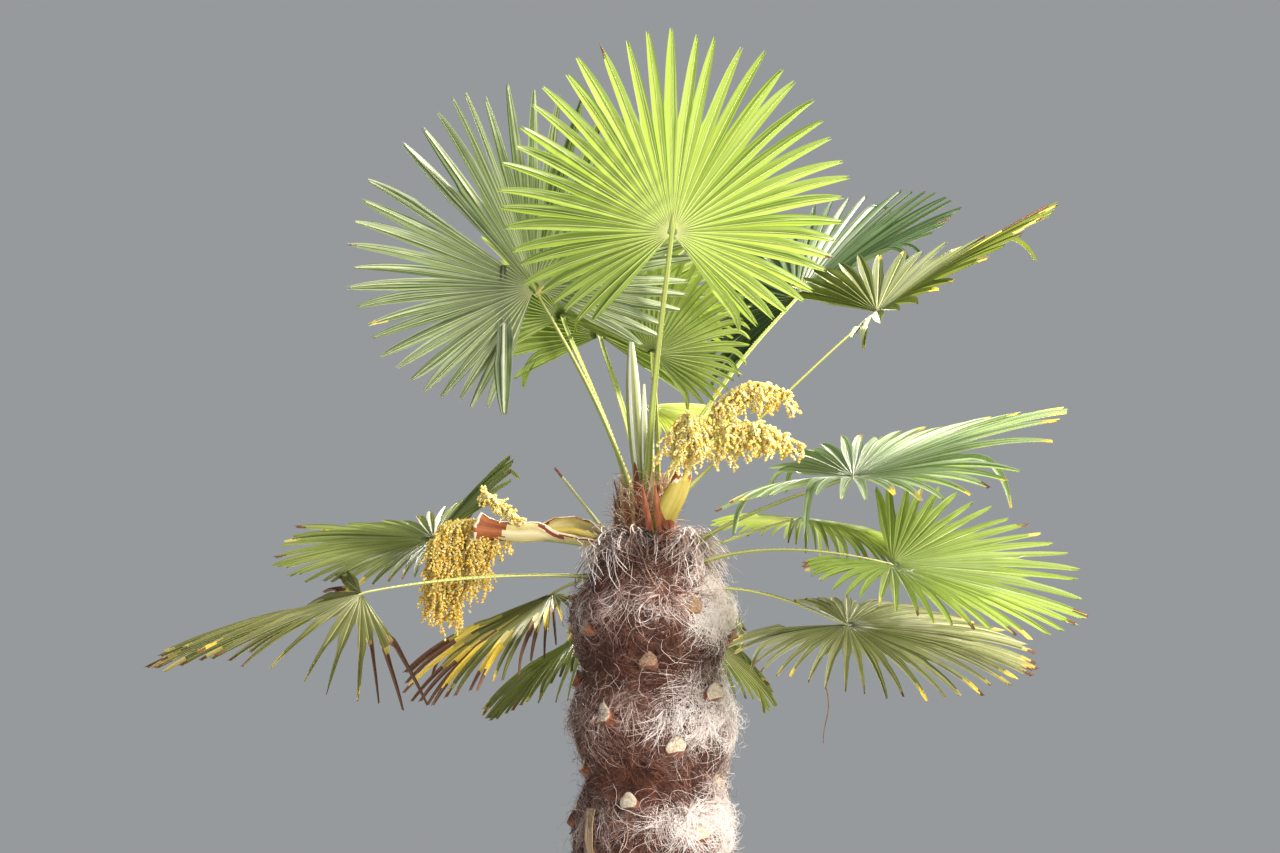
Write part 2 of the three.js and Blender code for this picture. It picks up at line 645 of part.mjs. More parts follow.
// A flower head: a curving branch with drooping strands of small flowers along it
function flowerHead(head) {
  const branch = new THREE.CatmullRomCurve3(head.branch.map((point) => vector(...point)));
  const branchUp = vector(0, 0.3, 1);
  const strandUp = vector(0.2, 1, 0.1);
  const parts = [solidOf(limb(branch, roundSection(5), 4, () => FLOWER_BRANCH_RADIUS, () => branchUp))];
  const [first, middle, last] = head.lengths;
  for (let index = 0; index < head.strands; index += 1) {
    const along = (index + 0.5) / head.strands;
    const length = along < 0.5
      ? first + (middle - first) * along * 2
      : middle + (last - middle) * (along * 2 - 1);
    const turn = index * STRAND_TURN;
    const outward = vector(Math.cos(turn), Math.sin(turn) * 0.8, 0);
    const start = branch.getPoint(head.bareShare + (1 - head.bareShare) * along);
    const crest = start.clone().addScaledVector(outward, head.spread).add(vector(0, 0, -length / 8));
    const end = start.clone().addScaledVector(outward, head.spread * 1.5).add(vector(0, 0, -length));
    const path = new THREE.QuadraticBezierCurve3(start, crest, end);
    parts.push(solidOf(limb(path, roundSection(4), 2, strandSize(head.thickness), () => strandUp)));
  }
  return union(parts);
}

// A sheath is slim where it starts, fullest at its middle and slim again at its mouth
function sheathSolid(path, halfWidth, margin) {
  const size = (along) => margin + halfWidth
    * (SHEATH_SLIMMEST + (1 - SHEATH_SLIMMEST) * Math.sin(Math.PI * Math.min(1, 0.15 + along * 0.9)));
  return stem(path, roundSection(SHEATH_SIDES, SHEATH_FLATNESS), SHEATH_STEPS, size, vector(0.2, -1, 0.2));
}

function rightStalkSolid(margin) {
  return stem(RIGHT_STALK_PATH, roundSection(6), 4, (along) => STALK_RADIUS - STALK_TAPER * along + margin,
    vector(0, 0, 1));
}

// Pleated all round, widest a third of the way up and drawn to a blunt point
function spearSolid() {
  const section = roundSection(SPEAR_PLEATS * 2).map(([across, up], index) => {
    const depth = index % 2 ? 1 - SPEAR_PLEAT_DEPTH : 1;
    return [across * depth, up * depth];
  });
  const size = (along) => SPEAR_HALF_WIDTH * (0.7 + 0.45 * Math.sin(Math.PI * along) - 0.5 * along ** 2);
  return stem(SPEAR_PATH, section, 5, size, vector(0, 1, 0));
}

function cutStalkSolid() {
  return stem(CUT_STALK_PATH, roundSection(5), 4, (along) => CUT_STALK_RADIUS - CUT_STALK_TAPER * along,
    vector(0, 0, 1));
}

const material = (color, roughness) => new THREE.MeshStandardMaterial({ color, roughness, metalness: 0 });
const FIBRE = material('#8a7470', 0.95);
const HEART_FIBRE = material('#9a6a48', 0.9);
const GREEN_STALK = material('#a8b85a', 0.5);
const GREEN_BLADE = material('#8fae4a', 0.55);
const PALE_SHEATH = material('#d8cf78', 0.6);
const YELLOW_FLOWER = material('#e8c04a', 0.7);
const DRY_STALK = material('#9a8a58', 0.8);

const palm = new THREE.Group();

function place(name, geometry, finish) {
  const mesh = new THREE.Mesh(geometry, finish);
  mesh.name = name;
  palm.add(mesh);
}

// What grows out of a carrier is cut back to stand clear of it
function placeTrimmed(name, solid, carrier, finish) {
  place(name, geometryOf(mainPiece(solid.subtract(carrier))), finish);
}

place('trunk', geometryOf(trunkSolid(0)), FIBRE);
place('crown_heart', geometryOf(heartSolid(0)), HEART_FIBRE);

const carrier = trunkSolid(CLEARANCE).add(heartSolid(CLEARANCE));
FRONDS.forEach((frond) => {
  placeTrimmed(`petiole_${frond.name}`, solidOf(petioleGeometry(frond)), carrier, GREEN_STALK);
  place(`blade_${frond.name}`, bladeGeometry(frond), GREEN_BLADE);
});
placeTrimmed('unopened_leaf', spearSolid(), carrier, GREEN_BLADE);
placeTrimmed('cut_stalk', cutStalkSolid(), carrier, DRY_STALK);

const leftSheath = sheathSolid(LEFT_SHEATH_PATH, LEFT_SHEATH_HALF_HEIGHT, CLEARANCE);
placeTrimmed('flower_sheath_left', sheathSolid(LEFT_SHEATH_PATH, LEFT_SHEATH_HALF_HEIGHT, 0), carrier,
  PALE_SHEATH);
LEFT_HEADS.forEach((head) => placeTrimmed(head.name, flowerHead(head), leftSheath, YELLOW_FLOWER));

const rightSheath = sheathSolid(RIGHT_SHEATH_PATH, RIGHT_SHEATH_HALF_WIDTH, CLEARANCE);
placeTrimmed('flower_sheath_right', sheathSolid(RIGHT_SHEATH_PATH, RIGHT_SHEATH_HALF_WIDTH, 0), carrier,
  PALE_SHEATH);
placeTrimmed('flower_stalk_right', rightStalkSolid(0), rightSheath, PALE_SHEATH);
const rightCarrier = rightSheath.add(rightStalkSolid(CLEARANCE));
RIGHT_HEADS.forEach((head) => placeTrimmed(head.name, flowerHead(head), rightCarrier, YELLOW_FLOWER));

export default palm;
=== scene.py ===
"""A windmill palm: pleated fan leaves on thin stalks, a stem in curly fibre, and flower heads."""

from __future__ import annotations

import logging
import math
import random
from dataclasses import dataclass, field
from enum import Enum
from typing import Sequence

import bpy
import numpy as np
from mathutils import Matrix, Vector

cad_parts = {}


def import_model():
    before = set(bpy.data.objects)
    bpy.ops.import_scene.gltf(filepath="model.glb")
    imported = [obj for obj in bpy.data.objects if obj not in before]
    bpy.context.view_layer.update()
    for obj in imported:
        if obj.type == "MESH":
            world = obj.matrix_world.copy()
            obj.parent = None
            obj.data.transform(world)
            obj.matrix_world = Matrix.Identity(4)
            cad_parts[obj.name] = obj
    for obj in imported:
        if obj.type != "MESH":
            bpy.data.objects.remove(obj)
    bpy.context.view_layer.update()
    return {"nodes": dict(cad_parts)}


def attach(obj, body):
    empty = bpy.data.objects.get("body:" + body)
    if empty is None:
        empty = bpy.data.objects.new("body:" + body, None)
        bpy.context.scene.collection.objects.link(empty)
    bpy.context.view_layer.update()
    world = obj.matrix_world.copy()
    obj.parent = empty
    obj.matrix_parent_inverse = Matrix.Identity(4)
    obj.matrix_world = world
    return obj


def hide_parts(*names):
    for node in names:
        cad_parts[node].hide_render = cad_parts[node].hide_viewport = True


LOG = logging.getLogger("palm")
MM = 0.001
BODY = "root"
TRIANGLE = ((0, 1), (-0.87, -0.5), (0.87, -0.5))
GOLDEN_TURN = 2.4

Colour = tuple[float, float, float, float]
Triple = tuple[float, float, float]
Pair = tuple[float, float]


def linear(hex_colour: str) -> Colour:
    """Turns an sRGB hex colour to linear light.

    Args:
        hex_colour: A colour such as "#8fae4a".

    Returns:
        Red, green, blue and alpha, from 0 to 1.
    """
    parts = [int(hex_colour[start:start + 2], 16) / 255 for start in (1, 3, 5)]
    red, green, blue = (p / 12.92 if p <= 0.04045 else ((p + 0.055) / 1.055) ** 2.4 for p in parts)
    return red, green, blue, 1.0


def smooth(start: float, end: float, value: float | np.ndarray) -> float | np.ndarray:
    """Rises gently from 0 at start to 1 at end.

    Args:
        start: Where the rise begins.
        end: Where it is complete.
        value: The place to read it at, a number or an array.

    Returns:
        A share from 0 to 1.
    """
    share = np.clip((value - start) / (end - start), 0.0, 1.0)
    return share * share * (3 - 2 * share)


def compass(degrees: float) -> Vector:
    """The level direction at that many degrees from +X."""
    return Vector((math.cos(math.radians(degrees)), math.sin(math.radians(degrees)), 0.0))


def smooth_path(points: Sequence[Triple], count: int) -> np.ndarray:
    """Draws a smooth curve through points.

    Args:
        points: The points, in millimetres.
        count: How many places to return along the curve.

    Returns:
        An array of count places, in metres.
    """
    knots = np.array(points, dtype=float) * MM
    padded = np.vstack([2 * knots[0] - knots[1], knots, 2 * knots[-1] - knots[-2]])
    places = []
    for share in np.linspace(0, len(knots) - 1, count):
        span = min(int(share), len(knots) - 2)
        t = share - span
        a, b, c, d = padded[span:span + 4]
        places.append(0.5 * (2 * b + (c - a) * t + (2 * a - 5 * b + 4 * c - d) * t ** 2
                             + (3 * b - a - 3 * c + d) * t ** 3))
    return np.array(places)


def read_line(where: float | np.ndarray, marks: Sequence[float], line: np.ndarray) -> np.ndarray:
    """Reads places on a line, between its own.

    Args:
        where: The marks to read at.
        marks: The mark of each of the line's own places, rising.
        line: Its own places.

    Returns:
        A place for each mark that is read.
    """
    return np.stack([np.interp(where, marks, line[:, axis]) for axis in range(3)], axis=-1)


def lengths_along(path: np.ndarray) -> np.ndarray:
    """How far along a path each of its places lies."""
    return np.concatenate([[0], np.cumsum(np.linalg.norm(np.diff(path, axis=0), axis=1))])


def polygon(sides: int) -> list[Pair]:
    """A regular section with that many sides."""
    return [(math.cos(2 * math.pi * k / sides), math.sin(2 * math.pi * k / sides)) for k in range(sides)]


def round_about(centre_x: float | np.ndarray, radius: float | np.ndarray, turn: np.ndarray,
                level: float | np.ndarray) -> np.ndarray:
    """Places round an upright axis.

    Args:
        centre_x: Where the axis stands.
        radius: Their distances from it.
        turn: Their angles round it, in radians.
        level: Their heights.

    Returns:
        The places.
    """
    parts = np.broadcast_arrays(centre_x + radius * np.cos(turn), radius * np.sin(turn), level)
    return np.stack(parts, axis=-1)


def level_axes(turn: np.ndarray) -> tuple[np.ndarray, np.ndarray]:
    """The level directions outward and across, at angles round an upright axis."""
    outward = round_about(0, 1, turn, 0)
    return outward, outward[..., [1, 0, 2]] * (-1, 1, 1)


# ---- meshes ----


@dataclass
class Sheaf:
    """Arrays of vertices and faces that are gathered until they become one joined piece."""

    points: list[np.ndarray] = field(default_factory=list)
    faces: list[np.ndarray] = field(default_factory=list)
    slots: list[np.ndarray] = field(default_factory=list)
    maps: list[np.ndarray] = field(default_factory=list)
    count: int = 0

    def add(self, points: np.ndarray, faces: np.ndarray, slots: np.ndarray | int = 0,
            where: np.ndarray | None = None) -> None:
        """Adds vertices and the faces between them.

        Args:
            points: An array of vertices, in metres.
            faces: An array of vertex numbers, three or four to a face.
            slots: The material slot of each face, or one for all.
            where: Each vertex's place across and along its leaf or strand.
        """
        points = points.reshape(-1, 3)
        self.points.append(points)
        self.faces.append(faces + self.count)
        self.slots.append(np.broadcast_to(slots, (len(faces),)))
        self.maps.append(np.zeros((len(points), 2)) if where is None else where.reshape(-1, 2))
        self.count += len(points)

    def add_copies(self, points: np.ndarray, faces: np.ndarray, slots: np.ndarray) -> None:
        """Adds many copies of one small mesh.

        Args:
            points: Each copy's vertices, in metres.
            faces: The vertex numbers of one copy's faces.
            slots: The material slot of each copy.
        """
        first = np.arange(len(points))[:, None, None] * (points[0].size // 3)
        self.add(points, (faces[None] + first).reshape(-1, faces.shape[1]), np.repeat(slots, len(faces)))

    def build(self, name: str, materials: Sequence[bpy.types.Material]) -> bpy.types.Object:
        """Makes the piece.

        Args:
            name: The piece's name.
            materials: Its materials, in the order of the slots.

        Returns:
            The new object, at the origin.
        """
        points, where = np.vstack(self.points), np.vstack(self.maps)
        corners = np.concatenate([faces.reshape(-1) for faces in self.faces]).astype(np.int32)
        totals = np.concatenate([np.full(len(faces), faces.shape[1]) for faces in self.faces])
        mesh = bpy.data.meshes.new(name)
        mesh.vertices.add(len(points))
        mesh.vertices.foreach_set("co", points.astype(np.float32).reshape(-1))
        mesh.loops.add(len(corners))
        mesh.loops.foreach_set("vertex_index", corners)
        mesh.polygons.add(len(totals))
        starts = np.concatenate([[0], np.cumsum(totals)[:-1]]).astype(np.int32)
        mesh.polygons.foreach_set("loop_start", starts)
        mesh.polygons.foreach_set("material_index", np.concatenate(self.slots).astype(np.int32))
        mesh.polygons.foreach_set("use_smooth", np.ones(len(totals), dtype=bool))
        layer = mesh.uv_layers.new(name="leaf")
        layer.data.foreach_set("uv", where[corners].astype(np.float32).reshape(-1))
        mesh.update(calc_edges=True)
        mesh.validate()
        piece = bpy.data.objects.new(name, mesh)
        bpy.context.scene.collection.objects.link(piece)
        for material in materials:
            mesh.materials.append(material)
        return piece


def grid(rows: int, columns: int, closed: bool = False) -> np.ndarray:
    """Lists the quads of a grid of vertices.

    Args:
        rows: The number of rows.
        columns: The number of vertices in each row.
        closed: Whether each row's last vertex joins its first.

    Returns:
        An array of four vertex numbers to a quad, row after row.
    """
    across = columns if closed else columns - 1
    row, column = np.meshgrid(np.arange(rows - 1), np.arange(across), indexing="ij")
    here = row * columns + column
    beside = row * columns + (column + 1) % columns
    return np.stack([here, beside, beside + columns, here + columns], axis=-1).reshape(-1, 4)


def leaf_map(along: np.ndarray, columns: int) -> np.ndarray:
    """A sheet's own map: its columns spread over 0 to 1, and the shares along it."""
    return np.stack(np.meshgrid(along, np.linspace(0, 1, columns), indexing="ij"), axis=-1)[..., ::-1]


def unit(vectors: np.ndarray) -> np.ndarray:
    """Each vector at length 1."""
    return vectors / np.maximum(np.linalg.norm(vectors, axis=-1, keepdims=True), 1e-9)


def sweep(path: np.ndarray, section: Sequence[Pair] | np.ndarray, sizes: np.ndarray,
          hints: np.ndarray) -> np.ndarray:
    """Carries a section along a path.

    Args:
        path: The path's places, in metres.
        section: The section's points, across and up, in half widths, for all rings or for each.
        sizes: The half width at each place.
        hints: The way the section's top faces, one for all places or one for each.

    Returns:
        The vertices, a ring at each place.
    """
    forward = unit(np.gradient(path, axis=0))
    across = unit(np.cross(np.broadcast_to(hints, path.shape), forward))
    upward = np.cross(forward, across)
    shape = np.reshape(section, (-1, np.shape(section)[-2], 2))
    sideways = across[:, None, :] * shape[..., :1]
    return path[:, None, :] + (sideways + upward[:, None, :] * shape[..., 1:]) * sizes[:, None, None]


def add_tube(sheaf: Sheaf, rings: np.ndarray, slots: np.ndarray | int = 0) -> None:
    """Adds a closed tube with a point in the middle of each end.

    Args:
        sheaf: What it is added to.
        rings: Its rings of vertices.
        slots: The material slot of each face of its side, or one for the whole tube.
    """
    rows, columns = rings.shape[:2]
    sheaf.add(rings, grid(rows, columns, closed=True), slots, leaf_map(np.linspace(0, 1, rows), columns))
    here = np.arange(columns)
    beside = np.roll(here, -1)
    for ring, first, second in ((rings[0], beside, here), (rings[-1], here, beside)):
        cap = np.stack([np.full(columns, columns), first, second], axis=-1)
        sheaf.add(np.vstack([ring, ring.mean(axis=0, keepdims=True)]), cap, int(np.ravel(slots)[-1]))


def thicken(piece: bpy.types.Object, thickness: float) -> None:
    """Gives an open sheet a wall.

    Args:
        piece: The sheet's piece.
        thickness: The wall, in metres.
    """
    shell = piece.modifiers.new("thickness", "SOLIDIFY")
    shell.thickness = thickness
    bpy.context.view_layer.objects.active = piece
    bpy.ops.object.modifier_apply(modifier=shell.name)


def place_piece(piece: bpy.types.Object, nodes: Sequence[str] = ()) -> None:
    """Fixes a finished piece to the plant and reports it.

    Args:
        piece: The piece.
        nodes: The solids that it stands for.
    """
    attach(piece, BODY)
    if nodes:
        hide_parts(*nodes)
    LOG.info("%s: %d faces", piece.name, len(piece.data.polygons))


# ---- finishes ----


def add_node(tree: bpy.types.NodeTree, kind: str,
             inputs: dict[str | int, object] | None = None) -> bpy.types.Node:
    """Adds one shader node with its settings and links.

    Args:
        tree: The material's node tree.
        kind: The node's type.
        inputs: Values, or the sockets that feed them, by a socket's name or number or a property's name.

    Returns:
        The new node.
    """
    node = tree.nodes.new(kind)
    for name, value in (inputs or {}).items():
        if isinstance(value, bpy.types.NodeSocket):
            tree.links.new(value, node.inputs[name])
        elif isinstance(name, str) and hasattr(node, name):
            setattr(node, name, value)
        else:
            node.inputs[name].default_value = value
    return node


def new_tree(name: str) -> tuple[bpy.types.Material, bpy.types.NodeTree]:
    """Starts a material.

    Args:
        name: Its name.

    Returns:
        The material and its empty node tree.
    """
    material = bpy.data.materials.new(name)
    material.use_nodes = True
    material.node_tree.nodes.clear()
    return material, material.node_tree


def noise(tree: bpy.types.NodeTree, grain: float, stretch: Triple = (1, 1, 1), source: str = "Object",
          contrast: Pair = (0.35, 0.65)) -> bpy.types.NodeSocket:
    """Draws a mottled pattern.

    Args:
        tree: The material's node tree.
        grain: The size of the mottling, in metres, or as a share on a leaf's own map.
        stretch: How many times longer it is along each axis.
        source: "Object" for places in the plant, or "leaf" for places on the leaf's own map.
        contrast: The two noise values that become 0 and 1.

    Returns:
        The socket of a share from 0 to 1.
    """
    if source == "Object":
        place = add_node(tree, "ShaderNodeTexCoord").outputs["Object"]
    else:
        place = add_node(tree, "ShaderNodeUVMap", {"uv_map": source}).outputs["UV"]
    scale = tuple(1 / (grain * part) for part in stretch)
    mapped = add_node(tree, "ShaderNodeMapping", {"Scale": scale, "Vector": place}).outputs[0]
    cloud = add_node(tree, "ShaderNodeTexNoise", {"Scale": 1.0, "Detail": 3.0, "Vector": mapped})
    return add_node(tree, "ShaderNodeMapRange", {
        "From Min": contrast[0], "From Max": contrast[1], "Value": cloud.outputs["Fac"],
    }).outputs["Result"]


def lay_over(tree: bpy.types.NodeTree, under: str | bpy.types.NodeSocket, over: str,
             pattern: bpy.types.NodeSocket, strength: float = 1.0) -> bpy.types.NodeSocket:
    """Lays one colour over another where a pattern says so.

    Args:
        tree: The material's node tree.
        under: The first colour, as sRGB hex or a socket.
        over: The second colour, as sRGB hex.
        pattern: A share from 0 to 1.
        strength: How much of the second colour shows where the pattern is 1.

    Returns:
        The mixed colour's socket.
    """
    share = add_node(tree, "ShaderNodeMath", {"operation": "MULTIPLY", 0: pattern, 1: strength}).outputs[0]
    first = linear(under) if isinstance(under, str) else under
    return add_node(tree, "ShaderNodeMix", {
        "data_type": "RGBA", 0: share, 6: first, 7: linear(over)}).outputs[2]


def close_surface(tree: bpy.types.NodeTree, colours: tuple[bpy.types.NodeSocket, bpy.types.NodeSocket],
                  glow_share: float, relief: tuple[bpy.types.NodeSocket, float, float],
                  gloss: dict[str | int, object]) -> None:
    """Joins a skin with relief to the light that comes through it.

    Args:
        tree: The material's node tree.
        colours: The colours of the skin and of the light through it.
        glow_share: How much of the surface's light comes through.
        relief: Its pattern, the bump's strength and its height in metres.
        gloss: The values on the skin's own sockets.
    """
    pattern, strength, height = relief
    bump = add_node(tree, "ShaderNodeBump", {"Strength": strength, "Distance": height, "Height": pattern})
    skin = add_node(tree, "ShaderNodeBsdfPrincipled", {
        **gloss, "Base Color": colours[0], "Normal": bump.outputs[0]})
    light = add_node(tree, "ShaderNodeBsdfTranslucent", {"Color": colours[1]})
    mixed = add_node(tree, "ShaderNodeMixShader", {0: glow_share, 1: skin.outputs[0], 2: light.outputs[0]})
    add_node(tree, "ShaderNodeOutputMaterial", {"Surface": mixed.outputs[0]})


@dataclass(frozen=True)
class LeafFinish:
    """Fan leaf, grown: a leathery, waxed skin over parallel veins. It gives the eye fine stripes along
    each leaflet, a soft shine, and a glow where the sun is behind it."""

    name: str
    colour: str
    pale: str
    glow: str
    glow_share: float = 0.4
    roughness: float = 0.42
    vein_share: float = 0.95
    cloud_share: float = 0.28

    def material(self) -> bpy.types.Material:
        """Makes the material.

        Returns:
            The new material.
        """
        material, tree = new_tree(self.name)
        # Real veins are 1 mm apart. That is too fine to show, so they are drawn about 2 mm apart: 0.055
        # of a leaflet 35 mm wide. The clouds over them are 50 mm.
        veins = noise(tree, 1.0, (0.055, 1.6, 1), "leaf", (0.38, 0.62))
        clouds = noise(tree, 0.05, contrast=(0.3, 0.72))
        face = lay_over(tree, self.colour, self.pale, veins, self.vein_share)
        face = lay_over(tree, face, self.pale, clouds, self.cloud_share)
        through = lay_over(tree, self.glow, self.pale, veins, self.vein_share)
        close_surface(tree, (face, through), self.glow_share, (veins, 0.25, 0.0006),
                      {"Roughness": self.roughness, "Specular IOR Level": 0.3, "IOR": 1.45})
        return material


@dataclass(frozen=True)
class FibreFinish:
    """Dry palm fibre or bark, grown and weathered. It gives the eye a dull, streaked surface that is a
    little fuzzy at grazing angles."""

    name: str
    dark: str
    pale: str
    grain: float = 0.012
    stretch: Triple = (1, 1, 1)
    depth: float = 0.0015
    roughness: float = 0.85
    glow_share: float = 0.0

    def material(self) -> bpy.types.Material:
        """Makes the material.

        Returns:
            The new material.
        """
        material, tree = new_tree(self.name)
        # The patches are the grain's size. A real thread is 0.3 to 0.5 mm thick. That is too fine to show,
        # so the threads on the surface are drawn at about a fifth of the grain, 1 to 5 mm.
        patches = noise(tree, self.grain, self.stretch)
        threads = noise(tree, self.grain * 0.18, self.stretch, contrast=(0.3, 0.7))
        colour = lay_over(tree, self.dark, self.pale, patches)
        colour = lay_over(tree, colour, self.dark, threads, 0.4)
        close_surface(tree, (colour, colour), self.glow_share, (threads, 0.6, self.depth), {
            "Roughness": self.roughness, "Specular IOR Level": 0.25, "Sheen Weight": 0.25,
            "Sheen Roughness": 0.5})
        return material


@dataclass(frozen=True)
class RindFinish:
    """Living stalk, papery sheath or petal, grown: smooth and waxy. It gives the eye long fine streaks
    and, where it is thin, some light from behind."""

    name: str
    colour: str
    streak: str
    roughness: float = 0.45
    glow_share: float = 0.0
    streak_length: float = 9.0

    def material(self) -> bpy.types.Material:
        """Makes the material.

        Returns:
            The new material.
        """
        material, tree = new_tree(self.name)
        # The streaks are 0.14 of the way round: 2 to 3 mm on a stalk and about 10 mm on a sheath. The
        # specks are 6 mm.
        streaks = noise(tree, 0.14, (1, self.streak_length, 1), "leaf", (0.4, 0.68))
        specks = noise(tree, 0.006, contrast=(0.45, 0.8))
        colour = lay_over(tree, self.colour, self.streak, streaks)
        colour = lay_over(tree, colour, self.streak, specks, 0.3)
        close_surface(tree, (colour, colour), self.glow_share, (streaks, 0.3, 0.0006),
                      {"Roughness": self.roughness, "Specular IOR Level": 0.4, "IOR": 1.45})
        return material


def make_all(*finishes: LeafFinish | FibreFinish | RindFinish) -> list[bpy.types.Material]:
    """The materials of some finishes, in the order of the slots."""
    return [finish.material() for finish in finishes]


@dataclass(frozen=True)
class Palette:
    """A frond's colours as sRGB hex: its darker and paler leaf faces, the paler also painting the lit wing of a
    fold, and the light through them.
    """

    main: str
    pale: str
    glow: str
    glow_share: float
    # Share of leaflets with a painted lit wing: one wing of each fold paler as painted sunlight and sheen, the
    # other darker as painted shade.
    painted_lit_wing: float = 0.5
    roughness: float = 0.42


class Tone(Enum):
    """How a frond's leaves look, by their age and their place in the light, with several palettes painting that
    light and shade.
    """

    # Young leaf held up to the sun: a bright lime face that glows.
    BRIGHT = Palette("#506628", "#98ac5c", "#98ae3a", 0.45, 0.6)
    # Painted sunlight: a leaf in full sun behind the flowers, drawn a pale yellow green, nearly even.
    SUNLIT = Palette("#8c9c48", "#ccd680", "#d0d858", 0.5, 0.5)
    # Leaf seen from below: dark folds, painted shade, with a yellow light let through between them.
    YELLOW = Palette("#252e10", "#6a7630", "#74821c", 0.34, 0.6, 0.6)
    # Soft new leaf: a fresh green with little contrast.
    FRESH = Palette("#5c7434", "#a0b068", "#a4b83c", 0.4, 0.45)
    # Waxed leaf that mirrors the sky: grey white faces, painted reflection and sheen, beside dark ones.
    SHEEN = Palette("#22341a", "#b2be98", "#6a8434", 0.2, 0.95)
    # Waxed leaf at a glancing angle: a cool green whose pale faces are painted sheen.
    GLANCING_SHEEN = Palette("#3c5622", "#a8ba96", "#84a22c", 0.34, 0.7)
    # Painted shade: a leaf turned from the sun, drawn a deep blue green.
    DEEP = Palette("#162c12", "#587048", "#2c4a1a", 0.18, 0.8)
    # Old leaf: a dull olive with pale straw along its folds, on the lit wing as painted sunlight.
    OLIVE = Palette("#383f20", "#b4b88e", "#8c903c", 0.32, 0.7)
    # Painted shade: a leaf in the crown's shade, drawn a quiet middle green.
    CROWN_SHADE = Palette("#404c22", "#848e54", "#8a9c3c", 0.28, 0.5)
    # The oldest leaf: green on its way to straw.
    FADING = Palette("#4c542c", "#848650", "#7c8438", 0.3, 0.4)

    def leaf_materials(self, turned: Sequence[bpy.types.Material]) -> list[bpy.types.Material]:
        """The frond's materials.

        Args:
            turned: The materials of leaf that is turning, yellow and brown.

        Returns:
            Main leaf, paler leaf, which also paints the lit wing of a fold, rib, and the three of turned leaf,
            in the order of the slots.
        """
        palette, label = self.value, self.name.lower()
        names = (f"fan_leaf_{label}", f"fan_leaf_{label}_pale", f"fan_rib_{label}")
        if names[0] not in bpy.data.materials:
            share, rough = palette.glow_share, palette.roughness
            make_all(LeafFinish(names[0], palette.main, palette.pale, palette.glow, share, rough),
                     LeafFinish(names[1], palette.pale, palette.main, palette.glow, share, rough * 0.85),
                     LeafFinish(names[2], palette.pale, "#d4d69c", palette.glow, share * 0.5, 0.4))
        return [bpy.data.materials[name] for name in names] + list(turned)


# ---- fronds ----

LEAFLET_PITCH = 6.3
SHARES = np.array([0.03, 0.09, 0.16, 0.24, 0.32, 0.40, 0.46, 0.50, 0.56, 0.62, 0.68, 0.74, 0.79,
                   0.84, 0.88, 0.915, 0.945, 0.97, 0.987, 1.0])
TURNING, YELLOW, BROWN = 3, 4, 5
NEVER = 2.0
SPLIT_SHARE = 0.5
BEND_STEPS = 48
HUB_GIVE = 0.12
HANGING_PULL = 7.0
TILT_FULL_AT, DROOP_FULL_AT, BASE_FROM, WIDEST = (math.radians(angle) for angle in (30, 50, 95, 140))
PLEAT_HEIGHT = 0.0095
RIB_HALF_WIDTH = 0.0011
FACE_LIFT = 0.0008
FACES_ACROSS = 6
STALK_STATIONS = 26
STALK_SECTION = ((1, 0.3), (0.72, 0.1), (0.3, 0.0), (-0.3, 0.0), (-0.72, 0.1), (-1, 0.3),
                 (-0.8, -0.3), (-0.35, -0.6), (0.35, -0.6), (0.8, -0.3))
STALK_BASE_HALF_WIDTH = 0.0095
STALK_TIP_HALF_WIDTH = 0.0052
STALK_SHEATH_FLARE = 1.6
TOOTH_HALF_LENGTH = 0.0022
TOOTH_HEIGHTS = (0.0012, 0.0024)
TOOTH_GAPS = (0.009, 0.017)
HEART_CENTRE_X = -12
STEM_LEAN = 9
SEAT_RADIUS_IN_HEART = 33
SEAT_RADIUS_IN_TRUNK = 89.6
TRUNK_HEIGHT = 1900


